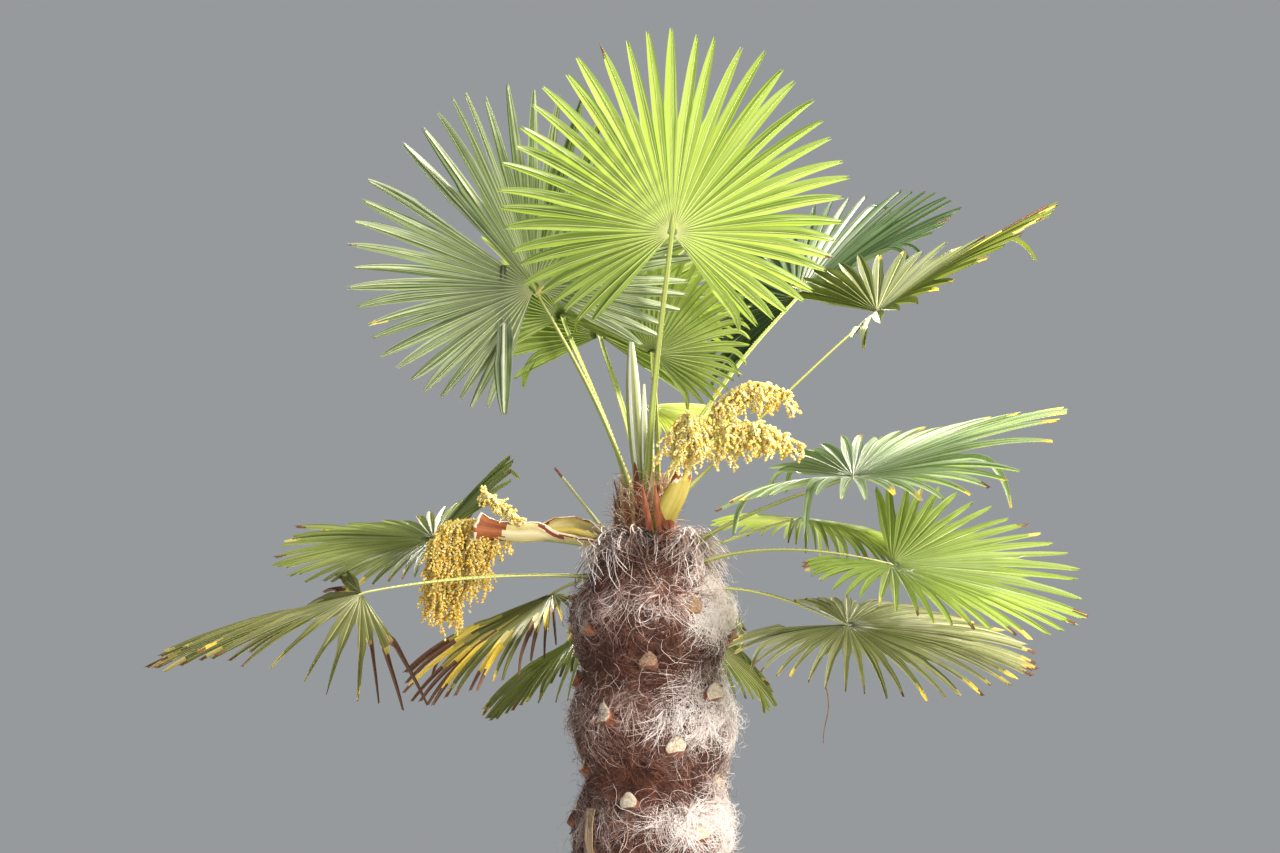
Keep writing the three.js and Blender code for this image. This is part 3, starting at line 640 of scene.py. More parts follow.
@dataclass(frozen=True)
class Frond:
    """One fan frond, placed and bent by the same rule as its solid. Millimetres and degrees."""

    name: str
    seat: Pair
    rise: float
    hub: Triple
    midrib: Pair
    tilts: Pair
    curl: Pair
    reach: float
    shorten: Pair
    arc: Pair
    droop: Pair
    tone: Tone
    crease: Triple | None = None
    yellow_tips: float = 0.25
    brown_tips: float = 0.15
    withered: float = 0.0
    hanging: float = 0.05
    fold: float = 1.0
    # Which half of the blade is drawn in painted sunlight: 0 for neither, below 0 for the first half of the
    # leaflets, above 0 for the second.
    painted_sunlit_half: int = 0
    thread: int | None = None
    split: int = 7
    yellowing: float = 0.15
    dry_end: int = 0
    lit_inside: bool = False

    @property
    def count(self) -> int:
        """How many leaflets the blade has, always an even number."""
        return 2 * round(sum(self.arc) / LEAFLET_PITCH / 2)

    @property
    def pitch(self) -> float:
        """The angle from one leaflet to the next, in radians."""
        return math.radians(sum(self.arc)) / self.count

    def axes(self) -> tuple[Vector, Vector, Vector]:
        """Finds the blade's own directions.

        Returns:
            Its midrib, its right-hand side and its upper face.
        """
        turn, slope = (math.radians(angle) for angle in self.midrib)
        midrib = Vector((math.cos(turn) * math.cos(slope), math.sin(turn) * math.cos(slope), math.sin(slope)))
        right = Vector((math.sin(turn), -math.cos(turn), 0.0))
        return midrib, right, right.cross(midrib)

    def direction(self, angle: float) -> Vector:
        """The way a leaflet leaves the hub.

        Args:
            angle: Its angle from the midrib, in radians, above zero in the right half.

        Returns:
            A direction of length 1.
        """
        midrib, right, upper = self.axes()
        side, spread = (0, -angle) if angle < 0 else (1, angle)
        tilt = math.radians(self.tilts[side]) * min(1.0, spread / TILT_FULL_AT)
        tilt += math.radians(self.curl[side]) * float(smooth(TILT_FULL_AT, WIDEST, spread))
        outward = right * (side * 2 - 1) * math.cos(tilt) + upper * math.sin(tilt)
        return midrib * math.cos(spread) + outward * math.sin(spread)

    def rib(self, angle: float, length: float, sag: float, hang_from: float) -> tuple[np.ndarray, ...]:
        """Follows one leaflet's rib out from the hub.

        Args:
            angle: The leaflet's angle from the midrib, in radians.
            length: Its length as a share of the rule's.
            sag: How much more than the rule it droops.
            hang_from: The share of its length past which it hangs, or NEVER.

        Returns:
            Its places, the way across it and the way it heads, at each station.
        """
        heading = self.direction(angle)
        across = (self.direction(angle + 0.01) - heading).normalized()
        side = 0 if angle < 0 else 1
        spread = abs(angle) / WIDEST
        reach = self.reach * MM * (1 - self.shorten[side] * spread * spread) * length
        mean = sum(self.droop) / 2
        droop = mean + (self.droop[side] - mean) * float(smooth(0, DROOP_FULL_AT, abs(angle))) + sag
        broken = self.crease is not None and self.crease[0] < math.degrees(angle) < self.crease[1]
        point = Vector(self.hub) * MM
        points, crosses, heads, shares = [point.copy()], [across.copy()], [heading.copy()], [0.0]
        for step in range(1, BEND_STEPS + 1):
            along = (step - 0.5) / BEND_STEPS
            give = HUB_GIVE + (1 - HUB_GIVE) * float(smooth(SPLIT_SHARE - 0.1, 1, along))
            heading.z -= droop * 2 * give / BEND_STEPS
            if along > hang_from:
                heading.z -= HANGING_PULL / BEND_STEPS
            if broken and along > self.crease[2]:
                lean = across.cross(heading) * (0.0 if along > 5 / 12 else -0.5)
                heading = lean + Vector((0, 0, -1))
                across = across * 0.7 + Vector((-0.3, 0.05, 0))
            heading.normalize()
            across = (across - heading * across.dot(heading)).normalized()
            point = point + heading * (reach / BEND_STEPS)
            points.append(point.copy())
            crosses.append(across.copy())
            heads.append(heading.copy())
            shares.append(step / BEND_STEPS)
        read = [read_line(SHARES, shares, np.array(values)) for values in (points, crosses, heads)]
        return read[0], unit(read[1]), unit(read[2])

    def blade(self, turned: Sequence[bpy.types.Material]) -> None:
        """Makes the fan of folded leaflets.

        Args:
            turned: The materials of leaf that is turning, yellow and brown.
        """
        dice = random.Random(self.name)
        count = self.count
        ribs = []
        for index in range(count):
            wander = 0 if self.crease else dice.uniform(-0.12, 0.12)
            angle = self.pitch * (index + 0.5 + wander) - math.radians(self.arc[0])
            hangs = dice.random() < self.hanging * (2.5 if abs(angle) > BASE_FROM else 1)
            ribs.append(self.rib(angle, dice.uniform(0.95, 1.01), dice.uniform(-0.05, 0.12),
                                 dice.uniform(0.6, 0.85) if hangs else NEVER))
        places, crosses, heads = (np.array(part) for part in zip(*ribs))
        normals = np.cross(crosses, heads)
        notches = [self.split + (dice.choice((0, 0, 1)) if index % 2 == 0 else dice.choice((1, 2, 3)))
                   for index in range(count + 1)]
        ages = [self.age(dice, index < self.dry_end) for index in range(count)]
        sheaf = Sheaf()
        column = np.tile(np.arange(FACES_ACROSS), len(SHARES) - 1)
        row = np.repeat(np.arange(len(SHARES) - 1), FACES_ACROSS)
        where = leaf_map(SHARES, FACES_ACROSS + 1)
        ridge = RIB_HALF_WIDTH * (1.15 - 0.8 * SHARES[:, None])
        for index in range(count):
            first, last = self.leaflet_edges(index, places, crosses, normals, notches, ages[index][2])
            across, normal, tip = crosses[index], normals[index], places[index].copy()
            tip[-2:] -= heads[index][-2:] * self.reach * MM * np.array([[0.012], [0.05]]) * dice.random()
            rows = np.stack([
                first,
                (first * 0.55 + tip * 0.45) + normal * FACE_LIFT,
                tip - across * ridge + normal * ridge * 0.3,
                tip - normal * ridge * 1.4,
                tip + across * ridge + normal * ridge * 0.3,
                (last * 0.55 + tip * 0.45) + normal * FACE_LIFT,
                last,
            ], axis=1)
            face = 1 if dice.random() < 0.15 else 0
            # Painted light: on this share of leaflets, one wing of each fold takes the paler face as painted
            # sunlight and sheen, and the other takes the darker face as painted shade. lit_inside swaps the
            # wings.
            if dice.random() < self.tone.value.painted_lit_wing:
                face = np.where(((column < 3) == (index >= count / 2 - 4)) != self.lit_inside, 1, 0)
            # Painted sunlight on one half of the blade: the other half keeps the darker face, as painted shade.
            if self.painted_sunlit_half and (index < count / 2) == (self.painted_sunlit_half > 0):
                face = 0
            slots = np.where((column == 2) | (column == 3), 2, face)
            slots = self.turn(dice, slots, row, column, ages[index])
            sheaf.add(rows, grid(len(SHARES), FACES_ACROSS + 1), slots, where + (index, 0))
            if index == self.thread:
                self.add_thread(sheaf, rows[-1, 3])
        piece = sheaf.build(f"fan_{self.name}", self.tone.leaf_materials(turned))
        place_piece(piece, [f"blade_{self.name}"])

    def age(self, dice: random.Random, dry: bool) -> Triple:
        """Deals out one leaflet's age.

        Args:
            dice: The frond's random numbers.
            dry: Whether it is one of the dry leaflets at the blade's left end.

        Returns:
            The shares of its length past which it is turning, yellow and brown.
        """
        turning = yellow = brown = NEVER
        if dice.random() < self.yellow_tips:
            turning = dice.uniform(0.84, 0.96)
            if dice.random() < self.yellowing:
                yellow = turning + dice.uniform(0.02, 0.06)
        if dice.random() < self.brown_tips:
            brown = dice.uniform(0.91, 0.985)
        if dice.random() < self.withered:
            start = dice.uniform(0.3, 0.72)
            turning = start - 0.14
            if dice.random() < 0.55:
                yellow = start if dice.random() < self.yellowing else NEVER
                brown = min(brown, start + dice.uniform(0.12, 0.4))
            else:
                brown = start
        if dry:
            brown = dice.uniform(0.34, 0.5)
            turning, yellow = brown - 0.04, NEVER
        return turning, yellow, brown

    @staticmethod
    def add_thread(sheaf: Sheaf, start: np.ndarray) -> None:
        """Adds the withered thread that hangs from one leaflet's tip.

        Args:
            sheaf: What it is added to.
            start: The tip.
        """
        share = np.linspace(0, 1, 9)
        path = start + np.stack([0.006 * np.sin(share * 5), 0.004 * share, 0.004 - 0.125 * share], axis=-1)
        add_tube(sheaf, sweep(path, TRIANGLE, np.linspace(0.0018, 0.0009, 9), np.array((0, 1.0, 0))), BROWN)

    def broken(self, index: int) -> bool:
        """Whether that leaflet is one that has snapped and hangs."""
        degrees = math.degrees(self.pitch) * (index + 0.5) - self.arc[0]
        return self.crease is not None and self.crease[0] < degrees < self.crease[1]

    def leaflet_edges(self, index: int, places: np.ndarray, crosses: np.ndarray, normals: np.ndarray,
                      notches: list[int], brown_from: float) -> list[np.ndarray]:
        """Finds a leaflet's two edges, which its neighbours share as far as the notch.

        Args:
            index: The leaflet's number.
            places: All the ribs' places.
            crosses: The ways across them.
            normals: The ways their upper faces look.
            notches: The station where each notch starts.
            brown_from: The share of its length past which the leaflet is brown and shrunk.

        Returns:
            The left edge and the right edge.
        """
        found = []
        snapped = self.broken(index)
        pleat = PLEAT_HEIGHT * np.minimum(1.0, SHARES / SPLIT_SHARE)
        half = self.reach * MM * math.tan(self.pitch / 2) * SHARES
        narrow = 1 - (1 - self.fold) * smooth(SPLIT_SHARE, SPLIT_SHARE + 0.2, SHARES)
        narrow = narrow * (1 - 0.5 * smooth(brown_from - 0.04, brown_from + 0.06, SHARES))
        whole, wide = (1.5, 1.1) if snapped else (1.0, 0.8)
        for sign, beside, notch in ((-1, index - 1, notches[index]), (1, index + 1, notches[index + 1])):
            past = np.clip((SHARES - SHARES[notch]) / (1 - SHARES[notch]), 0, 1)
            shape = (1 - 0.3 * past - 0.25 * past ** 2) * (1 - past ** 7) ** 0.8 + 0.2 * past ** 12
            fold = pleat * (0.35 + 0.65 * shape) * (1.6 - 0.6 * self.fold) / whole ** 2
            free = places[index] + sign * crosses[index] * (half[notch] * shape * narrow * whole)[:, None]
            free = free + normals[index] * fold[:, None]
            if 0 <= beside < self.count and snapped == self.broken(beside):
                joined = (places[index] + places[beside]) / 2
                joined = joined + (normals[index] + normals[beside]) / 2 * pleat[:, None]
            else:
                joined = places[index] + sign * crosses[index] * (half * wide)[:, None]
                joined = joined + normals[index] * (pleat * (wide - 0.2) * 0.4)[:, None]
            attached = (np.arange(len(SHARES)) <= notch)[:, None]
            found.append(np.where(attached, joined, free))
        return found

    def turn(self, dice: random.Random, slots: np.ndarray, row: np.ndarray, column: np.ndarray,
             age: Triple) -> np.ndarray:
        """Gives a leaflet's turned parts their slots, each strip of it turned a little differently.

        Args:
            dice: The frond's random numbers.
            slots: The leaflet's slots, by face.
            row: Each face's station.
            column: Each face's place across.
            age: Where the leaflet has turned.

        Returns:
            The slots with the turned faces.
        """
        ragged = np.array([dice.uniform(-0.045, 0.045) for _ in range(FACES_ACROSS)])
        shares = SHARES[row] + ragged[column]
        for start, slot in zip(age, (TURNING, YELLOW, BROWN)):
            slots = np.where(shares > start, slot, slots)
        return slots

    def stalk_path(self) -> np.ndarray:
        """Draws the stalk's line from its seat in the stem to the hub, and on under the midrib.

        Returns:
            Its places, in metres.
        """
        degrees, height = self.seat
        outward = compass(degrees)
        in_heart = height > TRUNK_HEIGHT
        radius = SEAT_RADIUS_IN_HEART if in_heart else SEAT_RADIUS_IN_TRUNK
        centre_x = HEART_CENTRE_X if in_heart else STEM_LEAN * height / TRUNK_HEIGHT
        start = Vector((centre_x, 0, height)) + outward * radius
        hub, rise = Vector(self.hub), math.radians(self.rise)
        leave = outward * math.cos(rise) + Vector((0, 0, math.sin(rise)))
        span = (hub - start).length
        bend = start + leave * span * 0.4
        heading = ((hub - bend).normalized() * 0.5 + self.axes()[0] * 0.5).normalized()
        end = hub - heading * 4
        before = end - heading * span * 0.14
        share = np.linspace(0, 1, STALK_STATIONS)[:, None]
        corners = [np.array(corner) for corner in (start, bend, before, end)]
        line = (corners[0] * (1 - share) ** 3 + 3 * corners[1] * share * (1 - share) ** 2
                + 3 * corners[2] * share ** 2 * (1 - share) + corners[3] * share ** 3) * MM
        places, _, _ = self.rib(0.0, 1.0, 0.0, NEVER)
        upper = np.array(self.axes()[2])
        return np.vstack([line, places[:2] - upper * 0.004])

    def stalk(self, materials: Sequence[bpy.types.Material]) -> None:
        """Makes the stalk, flat above, round below, with small teeth along its margins.

        Args:
            materials: The rind, the pale margins and the teeth.
        """
        path = self.stalk_path()
        share = np.clip(np.linspace(0, 1.06, len(path)), 0, 1)
        tip, base = STALK_TIP_HALF_WIDTH, STALK_BASE_HALF_WIDTH
        sizes = tip + (base - tip) * (1 - share) ** 2
        sizes = sizes * (1 + (STALK_SHEATH_FLARE - 1) * (1 - smooth(0.0, 0.2, share)))
        sizes[-2:] = (tip * 1.4, tip * 0.4)
        inward = np.array(-compass(self.seat[0]) + Vector((0, 0, 1)))
        hints = inward + (np.array(self.axes()[2]) - inward) * smooth(0.3, 1, share)[:, None]
        rings = sweep(path, STALK_SECTION, sizes, hints)
        sheaf = Sheaf()
        around = np.tile(np.arange(len(STALK_SECTION)), len(path) - 1)
        add_tube(sheaf, rings, np.where((around == 5) | (around == 9), 1, 0))
        self.add_teeth(sheaf, rings[:STALK_STATIONS], random.Random(self.name + " teeth"))
        place_piece(sheaf.build(f"stalk_{self.name}", materials), [f"petiole_{self.name}"])

    def add_teeth(self, sheaf: Sheaf, rings: np.ndarray, dice: random.Random) -> None:
        """Adds the small blunt teeth of both margins.

        Args:
            sheaf: What they are added to.
            rings: The stalk's rings.
            dice: The stalk's random numbers.
        """
        for side in (0, 5):
            edge = rings[:, side]
            lengths = lengths_along(edge)
            outward = unit(edge - rings.mean(axis=1))
            place = 0.05
            while place < lengths[-1] - 0.03:
                back, front, middle, away = (read_line(place + shift, lengths, line) for shift, line in (
                    (-TOOTH_HALF_LENGTH, edge), (TOOTH_HALF_LENGTH, edge), (0.001, edge), (0, outward)))
                crest = middle + away * dice.uniform(*TOOTH_HEIGHTS)
                under = (back + front) / 2 - away * 0.0006 - np.array((0, 0, 0.0012))
                faces = np.array([[0, 1, 3], [1, 2, 3], [2, 0, 3], [0, 2, 1]])
                sheaf.add(np.array([back, front, under, crest]), faces, 2)
                place += dice.uniform(*TOOTH_GAPS)


FRONDS = (
    Frond("upper_right", (-80, 1985), 82, (50, -175, 2595), (-78, 75), (0, 0), (0, 0), 475,
          (0.4, 0.42), (140, 140), (0.3, 0.3), Tone.BRIGHT, None, 0.03, 0.06, 0.0, 0.04),
    Frond("upper_left", (-140, 1980), 72, (-268, -60, 2482), (-150, 66), (52, -52), (0, 0), 480,
          (0.4, 0.38), (140, 140), (0.1, 0.15), Tone.SHEEN, (28, 34.5, 0.2), 0.02, 0.05, 0.0, 0.0,
          lit_inside=True),
    Frond("young_left", (165, 2000), 76, (-205, 80, 2427), (104, 76), (0, 0), (0, 0), 285,
          (0.4, 0.4), (120, 115), (0.2, 0.2), Tone.FRESH, None, 0.02, 0.02),
    Frond("young_centre", (115, 2015), 80, (-118, 160, 2390), (92, 68), (5, 5), (0, 0), 350,
          (0.4, 0.3), (120, 130), (0.2, 0.2), Tone.BRIGHT, None, 0.02, 0.02),
    Frond("young_right", (30, 2010), 86, (6, 2, 2332), (78, 78), (0, 0), (0, 0), 280,
          (0.4, 0.4), (65, 140), (0.3, 0.4), Tone.FRESH, None, 0.04, 0.03, 0.0, 0.15),
    Frond("far_high", (48, 1970), 60, (365, 520, 2517), (50, 41), (0, 4), (-30, 30), 500,
          (0.5, 0.6), (140, 85), (0.1, 0.15), Tone.DEEP, None, 0.03, 0.03, 0.0, 0.1),
    Frond("right_high", (-5, 1955), 44, (518, -160, 2416), (-7, 31), (9, -9), (38, 0), 490,
          (0.55, 0.5), (126, 106), (0.1, 0.1), Tone.YELLOW, None, 0.4, 0.2, 0.02, 0.05, yellowing=0.4),
    Frond("right_middle", (-30, 1880), 30, (461, -180, 2037), (-12, 20), (9, -22), (20, 30), 525,
          (0.4, 0.25), (135, 140), (0.2, 0.3), Tone.GLANCING_SHEEN, None, 0.6, 0.25, 0.0, 0.08, 0.84, -1,
          yellowing=0.6),
    Frond("right_near", (-28, 1835), 22, (542, -260, 1837), (-15, -16), (27, -10), (8, 0), 460,
          (0.5, 0.5), (118, 135), (0.0, 0.3), Tone.BRIGHT, None, 0.3, 0.3, 0.0, 0.0, 0.76, yellowing=0.3),
    Frond("right_inner", (12, 1870), 20, (358, 80, 1955), (35, -6), (0, -10), (0, 0), 330,
          (0.35, 0.35), (120, 140), (0.4, 1.4), Tone.FRESH, None, 0.1, 0.1, 0.0, 0.05, 0.75, split=5),
    Frond("right_low", (-12, 1780), 14, (451, -110, 1703), (-18, -10), (12, -15), (0, 0), 455,
          (0.4, 0.32), (135, 140), (0.3, 0.45), Tone.OLIVE, None, 0.75, 0.75, 0.0, 0.03, 0.6, 0, 34, 6, 0.5),
    Frond("left_low", (176, 1812), 6, (-661, -100, 1775), (177, -17), (1, -5), (-64, 60), 525,
          (0.38, 1.7), (108, 84), (0.2, 0.2), Tone.FADING, None, 0.7, 0.9, 0.16, 0.0, 0.5, split=4,
          yellowing=0.06, dry_end=3),
    Frond("left_back", (140, 1865), 18, (-520, 300, 1913), (143, 7), (-18, 7), (0, 58), 402,
          (0.4, 0.45), (125, 140), (0.2, 0.1), Tone.CROWN_SHADE, None, 0.3, 0.25, 0.0, 0.02, 0.8),
    Frond("left_drooping", (130, 1815), 12, (-233, 300, 1783), (152, -20), (-28, 0), (0, 0), 440,
          (0.45, 0.8), (115, 85), (0.75, 0.3), Tone.FADING, None, 0.8, 0.95, 0.72, 0.05, 0.48, split=4,
          yellowing=1.0),
    Frond("behind_left", (115, 1770), 8, (-140, 330, 1700), (143, -28), (-28, -10), (0, 0), 360,
          (0.4, 0.6), (120, 70), (0.4, 0.4), Tone.CROWN_SHADE, None, 0.15, 0.4, 0.0, 0.05, 0.55, split=4),
    Frond("behind_right", (62, 1780), 8, (125, 320, 1690), (65, -32), (-30, -30), (0, 0), 280,
          (0.5, 0.5), (80, 110), (0.4, 0.5), Tone.CROWN_SHADE, None, 0.3, 0.4, 0.1, 0.05, 0.8),
    Frond("behind_flowers", (75, 1965), 50, (-10, 350, 2240), (50, 3), (0, -25), (0, 0), 300,
          (0.4, 0.4), (30, 130), (0.3, 0.4), Tone.SUNLIT, None, 0.05, 0.05),
    Frond("behind_high", (97, 1985), 66, (-60, 310, 2480), (100, 58), (0, 0), (0, 0), 360,
          (0.4, 0.4), (120, 120), (0.4, 0.4), Tone.FRESH, None, 0.1, 0.1),
    Frond("behind_hanging", (90, 1835), 16, (25, 545, 1900), (85, -40), (-42, -42), (0, 0), 400,
          (0.6, 0.6), (90, 90), (0.4, 0.4), Tone.CROWN_SHADE, None, 0.3, 0.5, 0.1, 0.05, 0.8, yellowing=0.5),
)


# ---- stem ----


@dataclass(frozen=True)
class StrandStyle:
    """One kind of loose fibre on the stem: its number, size in metres, and how it lies."""

    name: str
    seed: int
    count: int
    points: int
    length: float
    width: float
    lift: float
    curl: float
    scatter: float
    kink: float
    paleness: float
    standing: float = 0.0
    crowding: float = 1.0
    ridge_only: bool = False
    locks: int = 0


STRAND_STYLES = (
    StrandStyle("felt_lower", 11, 11500, 7, 0.085, 0.0018, 0.006, 20, 0.8, 0.35, 0.7),
    StrandStyle("felt_upper", 12, 12500, 7, 0.085, 0.0018, 0.006, 20, 0.8, 0.35, 0.7, crowding=0.42),
    StrandStyle("curls", 13, 12500, 9, 0.12, 0.0018, 0.018, 26, 0.3, 0.16, 2.0, 0.2, 0.55, False, 900),
    StrandStyle("fringe", 14, 9500, 8, 0.095, 0.0017, 0.036, 12, 0.3, 0.14, 2.8, 0.85, 1.0, True, 620),
    StrandStyle("wisps", 15, 3000, 10, 0.12, 0.0014, 0.052, 30, 0.9, 0.25, 3.2, 0.75, 0.55),
)


@dataclass
class Stem:
    """The stem: a column in tiers, its cut leaf bases, and the mat of curly fibre round it."""

    height: float = 1.9
    radius: float = 0.152
    foot_radius: float = 0.140
    full_height: float = 0.9
    shoulder_radius: float = 0.128
    top_radius: float = 0.102
    shoulder_height: float = 0.07
    shoulder_blend: float = 0.154
    root_flare: float = 0.052
    root_flare_height: float = 0.085
    lean: float = 0.009
    tier_bulge: float = 0.030
    tier_spacing: float = 0.252
    tier_fullest: float = 1.477
    stub_top: float = 1.742
    stub_step: float = 0.074 / 3
    stub_count: int = 66
    stub_width: float = 0.058
    stub_reach: float = 0.034
    stub_turn: float = 137.5
    stub_start: float = -62
    stub_seed: int = 7
    sides: int = 96
    cuts: int = 150
    column_inset: float = 0.005
    relief: tuple[tuple[str, float, float], ...] = (("stem_tufts", 0.03, 0.007), ("stem_threads", 0.011, 0.006))
    strap_wall: float = 0.0022
    strap_seed: int = 21
    strap_places: tuple[tuple[float, float, float, float], ...] = (
        (-142, 1.285, 0.16, 0.03), (-40, 0.93, 0.19, 0.034), (74, 1.42, 0.15, 0.03), (165, 0.66, 0.2, 0.036),
        (20, 0.4, 0.14, 0.03), (118, 0.98, 0.12, 0.03))
    shoulder_seed: int = 31
    shoulder_steps: int = 8
    shoulder_fibres: int = 1500
    shoulder_tufts: int = 150
    shoulder_lengths: Pair = (0.045, 0.125)
    shoulder_starts: Pair = (0.035, 0.085)
    shoulder_widths: Pair = (0.001, 0.0025)

    def centre_x(self, height: float | np.ndarray) -> float | np.ndarray:
        """How far the stem has leant at that height."""
        return self.lean * smooth(0, self.height, height)

    def on_stem(self, height: np.ndarray) -> np.ndarray:
        """The heights, kept between the foot and the top."""
        return np.clip(height, 0.01, self.height - 0.002)

    def lumps(self, height: np.ndarray, turn: np.ndarray) -> np.ndarray:
        """How far the matted fibre stands out in uneven tufts.

        Args:
            height: Heights above the ground.
            turn: Angles round the stem, in radians.

        Returns:
            A distance, of up to about 12 mm either way.
        """
        total = 0.0
        for around, rise, shift, depth in ((2, 19, 0.4, 4), (5, -34, 1.7, 4), (7, 47, 3.1, 3),
                                           (11, -71, 0.9, 2.4), (16, 96, 4.4, 1.8)):
            slow = np.sin(rise * 0.6 * height - 0.5 * around + shift)
            total = total + np.sin(around * turn + rise * height + shift) * slow * depth * MM
        return total

    def surface(self, height: np.ndarray, turn: np.ndarray) -> np.ndarray:
        """The stem's radius by the source's rule.

        Args:
            height: Heights above the ground.
            turn: Angles round the stem, in radians.

        Returns:
            The radius at each.
        """
        tier = 0.5 + 0.5 * np.cos(2 * np.pi * (height - self.tier_fullest) / self.tier_spacing)
        bulge = self.tier_bulge * (0.35 + 0.65 * smooth(0.15, 1.3, height)) * tier ** 0.8
        uneven = 0.005 * np.sin(3 * turn + height / 0.095) + 0.004 * np.sin(5 * turn - height / 0.060)
        flare = self.root_flare * np.exp(-height / self.root_flare_height)
        column = self.foot_radius + (self.radius - self.foot_radius) * smooth(0, self.full_height, height)
        full = column + bulge + uneven + flare
        shoulder = smooth(self.height - self.shoulder_height, self.height, height)
        top = self.shoulder_radius + (self.top_radius - self.shoulder_radius) * shoulder
        return full + (top - full) * smooth(self.height - self.shoulder_blend, self.height - 0.02, height)

    def column(self) -> None:
        """Makes the column from a cylinder whose rings follow the rule, with relief on it."""
        bpy.ops.object.select_all(action="DESELECT")
        bpy.ops.mesh.primitive_cylinder_add(vertices=self.sides, radius=1, depth=self.height,
                                            location=(0, 0, self.height / 2))
        piece = bpy.context.object
        piece.name = piece.data.name = "stem_column"
        bpy.ops.object.transform_apply(location=True)
        bpy.ops.object.mode_set(mode="EDIT")
        bpy.context.tool_settings.mesh_select_mode = (False, True, False)
        bpy.ops.mesh.select_all(action="DESELECT")
        bpy.ops.object.mode_set(mode="OBJECT")
        mesh = piece.data
        for edge in mesh.edges:
            ends = [mesh.vertices[number].co.z for number in edge.vertices]
            edge.select = abs(ends[0] - ends[1]) > self.height / 2
        bpy.ops.object.mode_set(mode="EDIT")
        bpy.ops.mesh.subdivide(number_cuts=self.cuts)
        bpy.ops.object.mode_set(mode="OBJECT")
        points = self.read_points(mesh)
        turn, level = np.arctan2(points[:, 1], points[:, 0]), points[:, 2]
        radius = self.surface(level, turn) + self.lumps(level, turn) - self.column_inset
        self.write_points(mesh, round_about(self.centre_x(level), radius, turn, level))
        for name, size, depth in self.relief:
            clouds = bpy.data.textures.new(name, "CLOUDS")
            clouds.noise_scale = size
            lumps = piece.modifiers.new(name, "DISPLACE")
            lumps.texture, lumps.strength, lumps.mid_level = clouds, depth, 0.5
            bpy.ops.object.modifier_apply(modifier=name)
        points = self.read_points(mesh)
        points[:, 2] = np.clip(points[:, 2], 0, self.height)
        self.write_points(mesh, points)
        # Matted leaf-sheath fibre, felted in place: a dark red brown that shows between the tiers, partly its
        # own colour and partly painted shade for the gaps in the fibre and the recesses between the tiers.
        mesh.materials.append(FibreFinish("matted_fibre_and_shade", "#2c1710", "#6b3c28", 0.02, (1, 1, 2.2)).material())
        for polygon in mesh.polygons:
            polygon.use_smooth = True
        place_piece(piece, ["trunk"])

    @staticmethod
    def read_points(mesh: bpy.types.Mesh) -> np.ndarray:
        """Reads a mesh's vertices.

        Args:
            mesh: The mesh.

        Returns:
            Their places, one to a row.
        """
        points = np.zeros(len(mesh.vertices) * 3, dtype=np.float32)
        mesh.vertices.foreach_get("co", points)
        return points.reshape(-1, 3).astype(float)

    @staticmethod
    def write_points(mesh: bpy.types.Mesh, points: np.ndarray) -> None:
        """Puts the array back into the mesh."""
        mesh.vertices.foreach_set("co", points.astype(np.float32).reshape(-1))
        mesh.update()

    def stub_pattern(self) -> tuple[np.ndarray, np.ndarray, np.ndarray]:
        """Models one cut leaf base from a block, to be copied.

        Returns:
            Its vertices, its faces as triangles and their slots, 1 on the cut face.
        """
        bpy.ops.object.select_all(action="DESELECT")
        bpy.ops.mesh.primitive_cube_add(size=1)
        block = bpy.context.object
        bpy.ops.transform.resize(value=(1.0, 0.5, 1.6))
        bpy.ops.object.transform_apply(scale=True)
        bpy.ops.object.mode_set(mode="EDIT")
        bpy.ops.mesh.subdivide(number_cuts=3)
        bpy.ops.object.mode_set(mode="OBJECT")
        for vertex in block.data.vertices:
            across, deep, rise = vertex.co.x * 2, vertex.co.y * 4, vertex.co.z / 1.6 + 0.5
            middle = (1 - across * across) * (1 - deep * deep)
            vertex.co.x *= math.sqrt(1 - deep * deep / 2) * (1.16 - 0.26 * rise)
            vertex.co.y *= math.sqrt(1 - across * across / 2) * (0.8 + 0.6 * rise)
            vertex.co.y += 0.16 * across * across * (1 - 0.5 * rise)
            if rise > 0.99:
                vertex.co.z += 0.1 * across - 0.1 * across * across - 0.07 * middle - 0.25 * vertex.co.y
        edges = block.modifiers.new("rounding", "BEVEL")
        edges.width, edges.segments, edges.angle_limit = 0.035, 1, math.radians(50)
        bpy.ops.object.modifier_apply(modifier="rounding")
        block.modifiers.new("triangles", "TRIANGULATE")
        bpy.ops.object.modifier_apply(modifier="triangles")
        mesh = block.data
        points = self.read_points(mesh)
        faces = np.array([polygon.vertices[:] for polygon in mesh.polygons])
        cut = np.array([polygon.normal.z > 0.75 for polygon in mesh.polygons]).astype(int)
        bpy.data.objects.remove(block)
        return points, faces, cut

